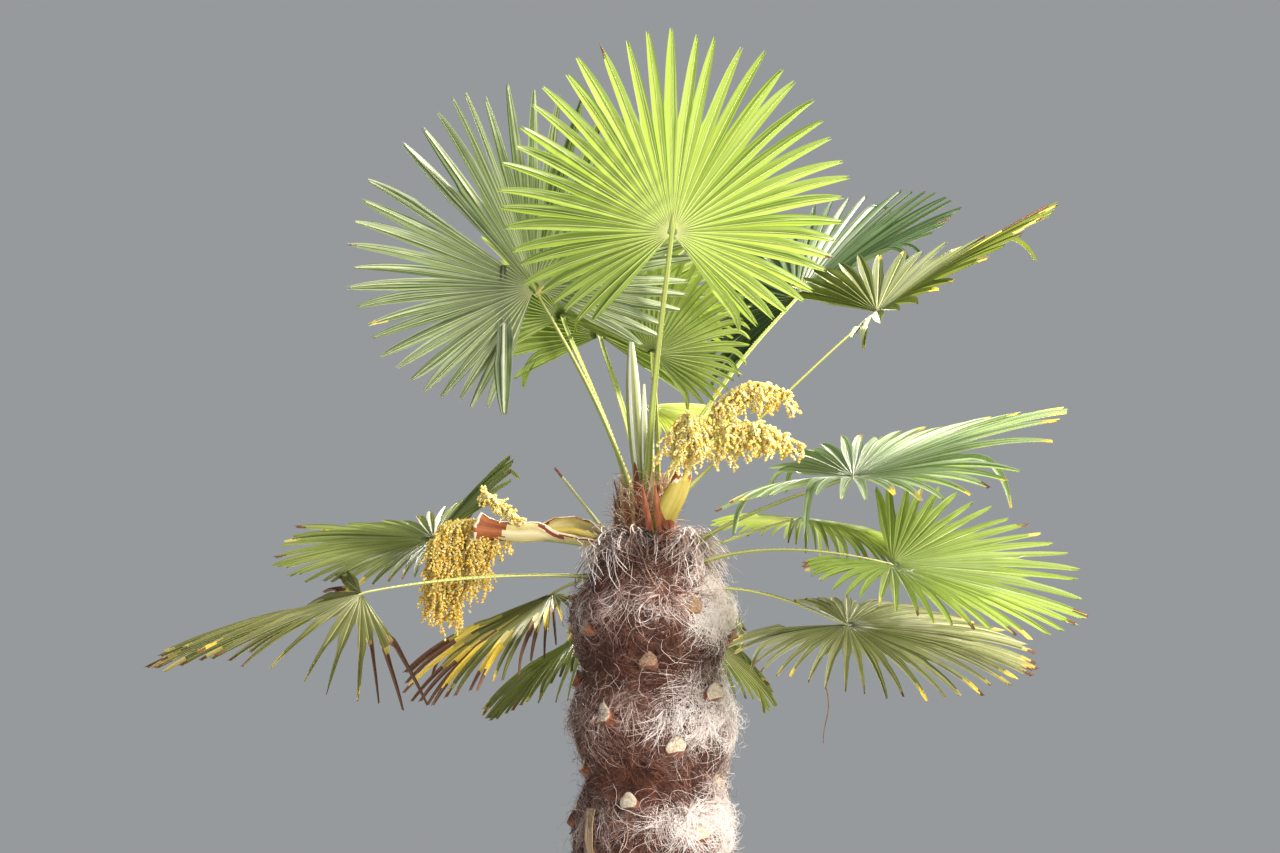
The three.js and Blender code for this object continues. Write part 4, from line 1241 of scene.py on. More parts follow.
    def stubs(self) -> None:
        """Copies the cut leaf base up the stem in the source's spiral, joined in one piece."""
        pattern, faces, cut = self.stub_pattern()
        dice = random.Random(self.stub_seed)
        sheaf = Sheaf()
        for index in range(self.stub_count):
            height = self.stub_top - self.stub_step * index
            degrees = self.stub_turn * index + self.stub_start
            outward = compass(degrees)
            radius = float(self.surface(np.array(height), np.array(math.radians(degrees))))
            rising = (outward + Vector((0, 0, dice.uniform(0.3, 1.0)))).normalized()
            across = Vector((0, 0, 1)).cross(outward).normalized()
            width = self.stub_width * dice.uniform(0.75, 1.08)
            length = width * dice.uniform(0.95, 1.5)
            reach = self.stub_reach * dice.uniform(0.3, 0.9)
            tip = Vector((self.centre_x(height), 0, height)) + outward * radius + rising * reach
            basis = np.array([across, across.cross(rising), rising])
            middle = np.array(tip) - np.array(rising) * length * 0.8
            points = (pattern * (width, width, length)) @ basis + middle
            sheaf.add(points, faces, np.where(cut == 1, dice.choice((1, 1, 2)), 0))
        materials = make_all(
            # Leaf base, grown and weathered: a red brown, ribbed bark.
            FibreFinish("leaf_base_rind", "#582e1e", "#a05e38", 0.01, (1, 1, 3)),
            # Its pith where it was sawn lately: pale, dull and a little grainy.
            FibreFinish("leaf_base_cut_fresh", "#b8a68c", "#e6dcc8", 0.005, depth=0.001),
            # Pith that was sawn years ago: the same grain, gone brown.
            FibreFinish("leaf_base_cut_old", "#7c5c44", "#b2957a", 0.005, depth=0.001))
        place_piece(sheaf.build("stem_leaf_bases", materials))

    def straps(self) -> None:
        """Makes the few dry straps, torn from old leaf bases, that hang on the fibre."""
        sheaf = Sheaf()
        dice = random.Random(self.strap_seed)
        down, spread = np.linspace(0, 1, 14), np.linspace(-1, 1, 6)
        hollow = 0.006 * (spread ** 2 - 1)
        for degrees, height, length, width in self.strap_places:
            turn = math.radians(degrees) + 0.16 * down + 0.04 * np.sin(down * 5)
            level = height - length * down
            radius = self.surface(level, turn) + 0.012 + 0.014 * np.sin(down * math.pi)
            centre = round_about(self.centre_x(level), radius, turn, level)
            outward, across = level_axes(turn)
            half = width / 2 * (1 - 0.45 * down) * (1 + 0.1 * np.sin(down * 17 + dice.random() * 6))
            points = (centre[:, None] + across[:, None] * (half[:, None] * spread)[..., None]
                      + outward[:, None] * hollow[None, :, None])
            sheaf.add(points, grid(len(down), len(spread)), 0, leaf_map(down, len(spread)))
        # Torn leaf stalk, dried: straw with fine brown streaks.
        piece = sheaf.build("stem_straps", make_all(RindFinish("dry_strap", "#b9a483", "#8a6d52", 0.7)))
        thicken(piece, self.strap_wall)
        place_piece(piece)

    def strands(self, style: StrandStyle, materials: Sequence[bpy.types.Material]) -> None:
        """Makes one joined mat of curly fibres, each a narrow ribbon that wanders over the stem.

        Args:
            style: How many there are, and how they lie.
            materials: From the darkest fibre to the palest.
        """
        rng = np.random.default_rng(style.seed)
        count, steps = style.count, style.points
        level = self.height * rng.random(count) ** style.crowding
        if style.ridge_only:
            tiers = self.tier_fullest + self.tier_spacing * rng.integers(-5, 2, count)
            level = tiers + rng.normal(0.035, 0.03, count)
        level = self.on_stem(level)
        turn = rng.uniform(-np.pi, np.pi, count)
        heading = self.flow(level, turn) + rng.normal(0, style.scatter, count)
        curl = rng.normal(0, 1, count) * style.curl
        lift = style.lift * rng.random(count) ** 1.6
        tint = rng.normal(0, 0.7, count)
        if style.locks:
            lock = rng.integers(0, style.locks, count)
            level = self.on_stem(level[lock] + rng.normal(0, 0.008, count))
            turn = turn[lock] + rng.normal(0, 0.05, count)
            heading = heading[lock] + rng.normal(0, 0.25, count) + rng.normal(0, 0.8, style.locks)[lock]
            curl = curl[lock] * rng.uniform(0.6, 1.3, count)
            lift = lift[lock] * rng.uniform(0.6, 1.2, count)
            tint = tint[lock] + rng.normal(0, 0.4, count)
        stride = rng.uniform(0.6, 1.3, count) * style.length / steps
        phase = rng.uniform(0, 6.28, count)
        shade = self.shade(level, turn) + style.paleness + tint
        places = np.zeros((count, steps, 3))
        outward = np.zeros((count, steps, 3))
        for step in range(steps):
            radius = self.surface(np.clip(level, 0, self.height), turn) + self.lumps(level, turn)
            wave = np.sin(phase + step * 0.9) ** 2
            loose = 0.001 + lift * (style.standing * step / steps + (1 - style.standing) * wave)
            height = np.clip(level, 0.003, self.height + 0.008)
            distance = radius + loose - np.clip(level - self.height, 0, 0.03)
            outward[:, step] = round_about(0, 1, turn, 0.15)
            places[:, step] = round_about(self.centre_x(height), distance, turn, height)
            level = level + stride * np.sin(heading)
            turn = turn + stride * np.cos(heading) / radius
            heading = heading + curl * stride + rng.normal(0, style.kink, count)
        forward = unit(np.gradient(places, axis=1))
        side = unit(np.cross(outward, forward))
        roll = rng.normal(0, 0.6, count)[:, None, None]
        side = side * np.cos(roll) + np.cross(forward, side) * np.sin(roll)
        width = rng.uniform(0.7, 1.3, count)[:, None] * style.width / 2 * np.linspace(1.0, 0.3, steps)
        self.ribbons(f"stem_{style.name}", places, side, width, shade, materials)

    @staticmethod
    def ribbons(name: str, places: np.ndarray, side: np.ndarray, width: np.ndarray, shade: np.ndarray,
                materials: Sequence[bpy.types.Material]) -> None:
        """Joins many narrow ribbons to one piece.

        Args:
            name: The piece's name.
            places: The places along each fibre.
            side: The way across it at each place.
            width: Half its width at each place.
            shade: How far each fibre is from the darkest material to the palest.
            materials: The materials, from dark to pale.
        """
        offset = side * width[..., None]
        slots = np.clip(shade, 0, len(materials) - 0.01).astype(int)
        sheaf = Sheaf()
        sheaf.add_copies(np.stack([places - offset, places + offset], axis=2), grid(places.shape[1], 2), slots)
        place_piece(sheaf.build(name, materials))

    def shoulder(self, materials: Sequence[bpy.types.Material]) -> None:
        """Makes the stiff fibres that radiate from under the crown over the stem's shoulder.

        Args:
            materials: From the darkest fibre to the palest.
        """
        rng = np.random.default_rng(self.shoulder_seed)
        count, steps, tufts = self.shoulder_fibres, self.shoulder_steps, self.shoulder_tufts
        tuft = rng.integers(0, tufts, count)
        turn = rng.uniform(-np.pi, np.pi, tufts)[tuft] + rng.normal(0, 0.09, count)
        share = np.linspace(0, 1, steps)[None, :]
        length = rng.uniform(*self.shoulder_lengths, count)[:, None]
        slope = (rng.normal(0.02, 0.34, tufts)[tuft] + rng.normal(0, 0.14, count))[:, None]
        start = rng.uniform(*self.shoulder_starts, count)[:, None]
        swing = (rng.normal(0, 0.8, tufts)[tuft] + rng.normal(0, 0.3, count))[:, None]
        away = start + length * share
        fall = length * (slope * share - 0.45 * share ** 2)
        height = self.height + 0.014 + fall - np.maximum(away - self.top_radius, 0) * 0.35
        turns = turn[:, None] + swing * share ** 1.5
        floor = self.surface(np.clip(height, 0, self.height), turns) + 0.002
        away = np.where(height < self.height - 0.006, np.maximum(away, floor), away)
        places = round_about(self.lean, away, turns, height)
        places += rng.normal(0, 0.0016, places.shape) * share[..., None]
        side = unit(np.cross(np.array((0.0, 0.0, 1.0)), unit(np.gradient(places, axis=1))))
        width = rng.uniform(*self.shoulder_widths, count)[:, None] * np.linspace(1.1, 0.35, steps)
        shade = rng.normal(1.5, 1.0, tufts)[tuft] + rng.normal(0, 0.7, count) + 3.0 * np.abs(np.cos(turn))
        self.ribbons("stem_shoulder", places, side, width, shade, materials)

    @staticmethod
    def flow(level: np.ndarray, turn: np.ndarray) -> np.ndarray:
        """Which way the fibre lies, downwards in slow swirls.

        Args:
            level: Heights above the ground.
            turn: Angles round the stem, in radians.

        Returns:
            An angle in the stem's surface, in radians, minus a quarter turn being straight down.
        """
        return -np.pi / 2 + 1.1 * np.sin(3 * turn + 13 * level + 0.5) + 0.7 * np.sin(5 * turn - 21 * level)

    def shade(self, level: np.ndarray, turn: np.ndarray) -> np.ndarray:
        """How pale the fibre is drawn: paler on each tier's crest as painted highlight, darker in the waists
        between as painted shade, and paler on the right-hand side as painted sunlight, over random patches and
        tufts.

        Args:
            level: Heights above the ground.
            turn: Angles round the stem, in radians.

        Returns:
            A number that is added to a fibre's slot.
        """
        tier = np.cos(2 * np.pi * (level - self.tier_fullest - 0.03) / self.tier_spacing)
        patches = np.sin(4 * turn + level * 23) * np.sin(level * 31 - 2 * turn)
        tufts = np.sin(9 * turn - level * 52 + 1.0) * np.sin(level * 74 + 5 * turn)
        # Painted sunlight: fibre on the right-hand side goes to the palest slots, and the tier crests and
        # patches push it further.
        painted_sunlight = smooth(0.4, 0.95, np.cos(turn + 0.2) + 0.3 * tier + 0.3 * patches)
        return 0.9 * tier + 4.2 * painted_sunlight - 0.9 + 0.7 * patches + 0.7 * tufts

    def build(self) -> None:
        """Makes the whole stem."""
        self.column()
        self.stubs()
        self.straps()
        # Dry leaf-sheath fibre, frayed by the weather. It gives the eye a dull, curly coat in five slots from
        # dark brown to white. The darkest is mostly painted shadow, on the left-hand side and in the tier
        # waists. The palest is partly pale fibre and partly painted sunlight, on the right-hand side and the
        # tier crests. Real threads are 0.3 to 0.5 mm thick. That is too fine to show, so the ribbons are 1.4 to
        # 1.8 mm wide, and the palest ones let some light through.
        materials = make_all(
            FibreFinish("fibre_shadow", "#43241a", "#6c3e2a", 0.03),
            FibreFinish("fibre_brown", "#5e3e34", "#80594b", 0.03),
            FibreFinish("fibre_mauve", "#86685f", "#a88e85", 0.03, glow_share=0.1),
            FibreFinish("fibre_tan", "#c0aaa2", "#e2d0c8", 0.03, glow_share=0.2),
            FibreFinish("fibre_bleached_and_sunlit", "#fbf3f0", "#fffdfc", 0.03, glow_share=0.4))
        for style in STRAND_STYLES:
            self.strands(style, materials)
        self.shoulder(materials)


@dataclass
class CrownHeart:
    """The crown's heart: packed leaf bases in brown net fibre, with upright threads."""

    centre_x: float = -0.012
    bottom: float = 1.9
    height: float = 0.135
    profile: tuple[Pair, ...] = ((0.066, 0.0), (0.0634, 0.054), (0.0515, 0.105), (0.044, 0.135))
    seed: int = 3
    thread_count: int = 420
    strap_count: int = 34
    strap_levels: Pair = (-0.012, 0.03)
    strap_lengths: Pair = (0.06, 0.15)
    strap_half_widths: Pair = (0.006, 0.014)
    front_straps: tuple[float, ...] = (-73, -69, -65, -84)
    front_straps_by: float = 0.057

    def radius(self, level: float | np.ndarray) -> float | np.ndarray:
        """The heart's radius at a height above its bottom."""
        radii, levels = zip(*self.profile)
        return np.interp(level, levels, radii)

    def core(self) -> None:
        """Makes the core, ridged by the leaf bases in it."""
        level = np.linspace(0, self.height, 30)[:, None]
        turn = np.linspace(0, 2 * np.pi, 72, endpoint=False)[None, :]
        ridges = 0.0035 * np.sin(7 * turn + level * 9) + 0.0015 * np.sin(19 * turn - level * 30)
        radius = self.radius(level) - 0.003 + ridges
        sheaf = Sheaf()
        add_tube(sheaf, round_about(self.centre_x, radius, turn, self.bottom + level))
        # Net fibre, woven by the leaf bases as they grow: a brown cloth of upright threads.
        net = make_all(FibreFinish("net_fibre", "#6b4632", "#a9805a", 0.012, (1, 1, 5)))
        place_piece(sheaf.build("crown_net", net), ["crown_heart"])

    def threads(self) -> None:
        """Makes the threads and straps that stand up round the heart."""
        rng = np.random.default_rng(self.seed)
        sheaf = Sheaf()
        share = np.linspace(0, 1, 7)
        for _ in range(self.thread_count):
            level = rng.uniform(0, self.height * 0.95)
            turn = rng.uniform(-np.pi, np.pi)
            length = rng.uniform(0.03, 0.09)
            away = float(self.radius(level)) + 0.004 + share ** 2 * rng.uniform(0.004, 0.034)
            away = away + 0.004 * np.sin(share * rng.uniform(4, 10))
            turns = turn + share * rng.normal(0, 0.7)
            rise = np.minimum(level + length * (share - rng.uniform(0, 0.8) * share ** 2), self.height + 0.02)
            path = round_about(self.centre_x, away, turns, self.bottom + rise + share * 0.002)
            sizes = np.linspace(0.0009, 0.0003, len(share)) * rng.uniform(0.8, 1.5)
            rings = sweep(path, TRIANGLE, sizes, np.array((math.cos(turn), math.sin(turn), 0.1)))
            sheaf.add(rings, grid(*rings.shape[:2], closed=True), int(rng.random() < 0.4))
        for number in range(self.strap_count):
            self.add_strap(sheaf, rng, number * GOLDEN_TURN + rng.normal(0, 0.2), 0.0)
        for degrees in self.front_straps:
            self.add_strap(sheaf, rng, math.radians(degrees), self.front_straps_by)
        materials = make_all(
            # Net threads, dried, in bundles 1 to 3 mm thick: brown ones, and paler ones in the light.
            FibreFinish("net_thread", "#7d5238", "#b98d62", 0.02),
            FibreFinish("net_thread_pale", "#c8ad8c", "#e7d8c2", 0.02),
            # Old leaf sheath, torn and dried: flat straps with long streaks, red brown or straw.
            FibreFinish("torn_sheath", "#5f2f1c", "#9a5a34", 0.012, (1, 1, 6)),
            FibreFinish("torn_sheath_pale", "#a58452", "#cdb88a", 0.012, (1, 1, 6)))
        place_piece(sheaf.build("crown_threads", materials))

    def add_strap(self, sheaf: Sheaf, rng: np.random.Generator, turn: float, outward_by: float) -> None:
        """Adds one torn strap of old leaf sheath that stands against the heart.

        Args:
            sheaf: What it is added to.
            rng: The heart's random numbers.
            turn: Its angle round the heart, in radians.
            outward_by: How far it stands out from the heart, in metres.
        """
        share, spread = np.linspace(0, 1, 10), np.linspace(-1, 1, 5)
        length = rng.uniform(*self.strap_lengths)
        level = rng.uniform(*self.strap_levels)
        away = np.interp(level + share * length, (0, self.height), (0.074, 0.05)) + outward_by
        away = away + share ** 2 * rng.uniform(-0.004, 0.03) * (outward_by == 0)
        half = rng.uniform(*self.strap_half_widths) * (1 - 0.75 * share ** 2)
        turns = turn + share * rng.normal(0, 0.12)
        centre = round_about(self.centre_x, away, turns, self.bottom + level + share * length)
        outward, across = level_axes(turns)
        points = centre[:, None] + across[:, None] * (half[:, None] * spread)[..., None]
        points = points - outward[:, None] * (half[:, None] * spread ** 2 * 0.4)[..., None]
        points[-1, :, 2] += rng.uniform(-0.008, 0.004, len(spread))
        dark = rng.random() < 0.5 or outward_by > 0
        sheaf.add(points, grid(len(share), len(spread)), 2 if dark else 3)


# ---- flowers ----


@dataclass(frozen=True)
class FlowerHead:
    """One flower head: a branch, its drooping branches, and short fingers that round flowers cover."""

    name: str
    branch: tuple[Triple, ...]
    strands: int
    lengths: Triple
    spread: float
    bare_share: float
    finer: int = 3
    hang: float = 0.35
    finger_gap: float = 7.6
    finger_length: float = 22
    flower_gap: float = 3.8
    flower_size: float = 3.9
    tints: Triple = (0.45, 0.4, 0.15)
    branch_half_widths: Pair = (0.0062, 0.0035)
    side_half_widths: Pair = (0.0019, 0.001)

    def build(self, materials: Sequence[bpy.types.Material]) -> None:
        """Makes the head.

        Args:
            materials: Three shades of flower, and the branch's rind.
        """
        rng = np.random.default_rng(len(self.name) * 31 + self.strands)
        sheaf = Sheaf()
        branch = smooth_path(self.branch, 40)
        sizes = np.linspace(*self.branch_half_widths, len(branch))
        add_tube(sheaf, sweep(branch, polygon(6), sizes, np.array((0, 0.3, 1))), 3)
        centres = [self.fingers(branch[int(len(branch) * self.bare_share):], rng)]
        total = self.strands * self.finer
        for index in range(total):
            side = self.side_branch(branch, (index + 0.5) / total, index, rng)
            sizes = np.linspace(*self.side_half_widths, len(side))
            rings = sweep(side, TRIANGLE, sizes, np.array((0.2, 1, 0.1)))
            sheaf.add(rings, grid(*rings.shape[:2], closed=True), 3)
            centres.append(self.fingers(side, rng))
        self.add_flowers(sheaf, np.vstack(centres), rng)
        place_piece(sheaf.build(f"blossom_{self.name}", materials), [self.name])

    def side_branch(self, branch: np.ndarray, along: float, index: int, rng: np.random.Generator) -> np.ndarray:
        """Follows one drooping side branch.

        Args:
            branch: The main branch's places.
            along: How far along it the side branch grows.
            index: The side branch's number.
            rng: The head's random numbers.

        Returns:
            Its places.
        """
        length = np.interp(along, (0, 0.5, 1), self.lengths) * MM * rng.uniform(0.45, 0.93)
        turn = index * GOLDEN_TURN + rng.normal(0, 0.3)
        outward = np.array((math.cos(turn), math.sin(turn) * 0.8, 0.0))
        spread = self.spread * MM * rng.uniform(0.3, 1.5)
        place = self.bare_share + (1 - self.bare_share) * along
        start = read_line(place, np.linspace(0, 1, len(branch)), branch)
        crest = start + outward * spread + np.array((0, 0, length * rng.uniform(-0.1, 0.25)))
        end = start + outward * spread * 1.4 + np.array((0, 0, -length))
        share = np.linspace(0, 1, 12)[:, None]
        path = start * (1 - share) ** 2 + 2 * crest * share * (1 - share) + end * share ** 2
        return path + rng.normal(0, 0.001, path.shape) * share

    def fingers(self, path: np.ndarray, rng: np.random.Generator) -> np.ndarray:
        """Lays out the flowers on the short fingers along a branch.

        Args:
            path: The branch's places.
            rng: The head's random numbers.

        Returns:
            The flowers' places.
        """
        lengths = lengths_along(path)
        count = max(2, int(lengths[-1] / (self.finger_gap * MM)))
        where = (np.arange(count) + rng.uniform(0.2, 0.9, count)) / count * lengths[-1]
        starts = read_line(where, lengths, path)
        heads = read_line(where, lengths, unit(np.gradient(path, axis=0)))
        outward = unit(rng.normal(0, 1, starts.shape) * np.array((1, 0.9, 0.6)))
        size = self.finger_length * MM * rng.uniform(0.5, 1.1, (count, 1))
        middle = starts + (outward * 0.55 + heads * 0.3) * size
        ends = middle + (outward * 0.25 + heads * 0.2 + np.array((0, 0, -self.hang))) * size
        share = np.linspace(0.08, 1, max(3, int(self.finger_length / self.flower_gap)))[None, :, None]
        spine = (starts[:, None] * (1 - share) ** 2 + 2 * middle[:, None] * share * (1 - share)
                 + ends[:, None] * share ** 2)
        spots = np.repeat(spine.reshape(-1, 3), 2, axis=0)
        return spots + unit(rng.normal(0, 1, spots.shape)) * self.flower_size * MM * 0.5

    def add_flowers(self, sheaf: Sheaf, centres: np.ndarray, rng: np.random.Generator) -> None:
        """Adds a small eight-sided flower at each place.

        Args:
            sheaf: What they are added to.
            centres: Their places.
            rng: The head's random numbers.
        """
        ball = np.array([(1, 0, 0), (0, 1, 0), (-1, 0, 0), (0, -1, 0), (0, 0, 1), (0, 0, -1)], dtype=float)
        faces = np.array([(0, 1, 4), (1, 2, 4), (2, 3, 4), (3, 0, 4),
                          (1, 0, 5), (2, 1, 5), (3, 2, 5), (0, 3, 5)])
        sizes = rng.uniform(0.65, 1.15, (len(centres), 1, 1)) * self.flower_size * MM
        east, north = level_axes(rng.uniform(0, 1.57, len(centres)))
        basis = np.stack([east, north, np.broadcast_to((0.0, 0.0, 1.0), east.shape)], axis=1)
        lumpy = (ball[None] * sizes * rng.uniform(0.75, 1.25, (len(centres), len(ball), 1))) @ basis
        sheaf.add_copies(centres[:, None, :] + lumpy, faces, rng.choice(3, len(centres), p=self.tints))


@dataclass(frozen=True)
class Sheath:
    """A papery boat-shaped sheath, open along one side, torn at its mouth, with dry brown margins."""

    name: str
    path: tuple[Triple, ...]
    half_width: float
    opening: tuple[Pair, ...]
    facing: tuple[Triple, Triple]
    rolls: Pair
    flatness: float
    profile: tuple[Pair, ...]
    patch: Triple
    dry_from: float
    tear: float
    curl: float
    wall: float = 0.0012
    rows: int = 40
    columns: int = 33

    def build(self, materials: Sequence[bpy.types.Material]) -> None:
        """Makes the sheath.

        Args:
            materials: The papery face, its dry brown parts and its bleached rim.
        """
        rows, columns = self.rows, self.columns
        rng = np.random.default_rng(len(self.name))
        path = smooth_path(self.path, rows)
        along, around = np.linspace(0, 1, rows), np.linspace(-1, 1, columns)
        sizes = self.half_width * MM * np.interp(along, *zip(*self.profile))
        half_turn = math.pi - np.radians(np.interp(along, *zip(*self.opening))) / 2
        turns = around * half_turn[:, None] + math.pi / 2
        section = np.stack([np.cos(turns), np.sin(turns) * self.flatness], axis=-1)
        first, last = (np.array(facing, dtype=float) for facing in self.facing)
        points = sweep(path, section, sizes, first + (last - first) * smooth(*self.rolls, along)[:, None])
        forward, away = unit(np.gradient(path, axis=0)), unit(points - path[:, None])
        mouth = np.clip((along - 0.8) / 0.2, 0, 1)[:, None, None]
        torn = np.convolve(rng.random(columns + 2), (0.3, 0.4, 0.3), "valid")[None, :, None]
        points = points - forward[:, None] * mouth ** 1.5 * torn * self.tear
        points = points + away * mouth ** 2 * self.curl * (0.4 + torn)
        crumple = np.sin(along * 33)[:, None] * np.sin(around * 9 + 1)[None, :] + np.sin(along * 61)[:, None]
        points = points + away * (0.0007 * crumple * (0.3 + np.abs(around) ** 4)[None, :])[..., None]
        sheaf = Sheaf()
        sheaf.add(points, grid(rows, columns), self.slots(along, around), leaf_map(along, columns))
        piece = sheaf.build(f"papery_{self.name}", materials)
        thicken(piece, self.wall)
        place_piece(piece, [self.name])

    def slots(self, along: np.ndarray, around: np.ndarray) -> np.ndarray:
        """Deals out the papery, dry and bleached parts, with edges that wander.

        Args:
            along: The rows' shares of the length.
            around: The columns' places from one margin, -1, to the other, 1.

        Returns:
            The slot of each face.
        """
        rows, columns = len(along), len(around)
        row, column = np.divmod(np.arange((rows - 1) * (columns - 1)), columns - 1)
        wander = np.sin(column * 1.3) + np.sin(row * 0.7 + column * 0.45)
        wander = wander + 0.6 * np.sin(row * 1.9 - column * 0.8)
        place, side = along[row] + wander * 0.02, around[column] + wander * 0.03
        middle, across, size = self.patch
        spot = ((along[row] - middle) / size) ** 2 + ((around[column] - across) / (size * 2.6)) ** 2
        spot = spot + wander * 0.16
        dry = (np.abs(side) > 0.86) | (place > self.dry_from) | (spot < 1)
        rim = (column < 1) | (column > columns - 3) | (row > rows - 3) | ((spot >= 1) & (spot < 1.5))
        return np.where(rim & (wander > -1.0), 2, dry.astype(int))


@dataclass
class Blossom:
    """All the flower heads, their sheaths and the stalk that carries the right ones."""

    heads: tuple[FlowerHead, ...] = (
        FlowerHead("flowers_left", ((-338, 40, 1924), (-408, 46, 1946), (-472, 50, 1934), (-508, 50, 1882)),
                   9, (78, 262, 195), 17, 0.06, 5, 0.7, tints=(0.45, 0.15, 0.4)),
        FlowerHead("flower_spike_left", ((-286, 27, 1930), (-332, 22, 1974), (-388, 18, 2015)),
                   3, (26, 26, 22), 8, 0.25, 5, 0.15, 3.6, 17, tints=(0.4, 0.5, 0.1)),
        FlowerHead("flowers_right_near", ((99, -140, 2084), (106, -182, 2150), (84, -194, 2176),
                                          (59, -190, 2122)), 6, (92, 112, 84), 22, 0.3, 5, 0.4),
        FlowerHead("flowers_right_upper", ((141, -160, 2146), (162, -166, 2205), (232, -174, 2250),
                                           (314, -178, 2228)), 7, (70, 62, 50), 20, 0.2, 5, 0.25),
        FlowerHead("flowers_right_outer", ((128, -156, 2124), (186, -190, 2152), (252, -200, 2152),
                                           (312, -200, 2120)), 7, (102, 72, 52), 21, 0.2, 5, 0.25),
    )
    sheaths: tuple[Sheath, ...] = (
        Sheath("flower_sheath_left", ((-60, -20, 1862), (-105, -14, 1892), (-150, -2, 1917), (-200, 8, 1926),
                                      (-300, 32, 1919), (-362, 42, 1926), (-416, 49, 1936)),
               25, ((0, 60), (0.2, 60), (0.36, 116), (0.5, 96), (0.6, 70), (1, 80)),
               ((0.0, 0.9, -0.44), (0.0, -0.25, -0.97)), (0.5, 0.62), 1.0,
               ((0, 0.5), (0.14, 0.7), (0.3, 1.15), (0.46, 1.22), (0.56, 1.0), (0.8, 0.95), (1, 1.15)),
               (0.52, 0.75, 0.05), 0.75, 0.03, 0.012),
        Sheath("flower_sheath_right", ((14, -88, 1880), (30, -98, 1940), (58, -108, 2000), (86, -122, 2066)),
               29, ((0, 80), (1, 80)), ((0.2, -1, 0.2), (0.2, -1, 0.2)), (0, 1), 0.5,
               ((0, 0.45), (0.2, 0.66), (0.45, 0.92), (0.7, 0.9), (0.9, 0.7), (1, 0.5)), (0.9, -0.5, 0.13),
               0.9, 0.034, 0.004),
    )
    stalk_path: tuple[Triple, ...] = ((60, -109, 2004), (78, -119, 2036), (96, -138, 2080), (126, -155, 2122),
                                      (142, -160, 2150))
    core_path: tuple[Triple, ...] = ((-20, -5, 1870), (-150, -2, 1914), (-200, 8, 1923), (-300, 32, 1918),
                                     (-350, 41, 1928))

    def build(self) -> None:
        """Makes every flower piece."""
        petals = make_all(
            # Petals, grown: small waxy beads, soft in the light, in three yellows.
            RindFinish("flower_gold", "#fff08c", "#fff4ac", 0.6, 0.5),
            RindFinish("flower_pale", "#fff8c4", "#fffce0", 0.6, 0.5),
            RindFinish("flower_deep", "#eecc58", "#f6de7c", 0.6, 0.5),
            # Flower branch, grown: a smooth, dull gold rind.
            RindFinish("flower_branch", "#cfb050", "#c2bb62", 0.5))
        for head in self.heads:
            head.build(petals)
        dry = make_all(
            # Sheath margin, dried out: thin, red brown and brittle.
            RindFinish("sheath_margin", "#74381f", "#a8653c", 0.65, 0.08),
            # The torn edge beside it, bleached: almost white paper.
            RindFinish("sheath_rim", "#dcc6a8", "#f4e8d6", 0.6, 0.1))
        papers = make_all(
            # Papery sheath, grown: waxed cream skin on the left, olive on the right, lit from behind.
            RindFinish("sheath_cream", "#ccc078", "#ece4c0", 0.5, 0.22),
            RindFinish("sheath_olive", "#a8983e", "#c6b868", 0.5, 0.22))
        for sheath, paper in zip(self.sheaths, papers):
            sheath.build([paper, *dry])
        sheaf = Sheaf()
        for points, widths, hint in ((self.stalk_path, (0.0085, 0.0065), (0, 0, 1.0)),
                                     (self.core_path, (0.009, 0.006), (0, 0.3, 1.0))):
            path = smooth_path(points, 24)
            add_tube(sheaf, sweep(path, polygon(8), np.linspace(*widths, len(path)), np.array(hint)))
        # Flower stalk, grown: a smooth gold green rind.
        rind = make_all(RindFinish("flower_stalk_rind", "#c8ae52", "#b6b866", 0.45))
        place_piece(sheaf.build("flower_stalks", rind), ["flower_stalk_right"])


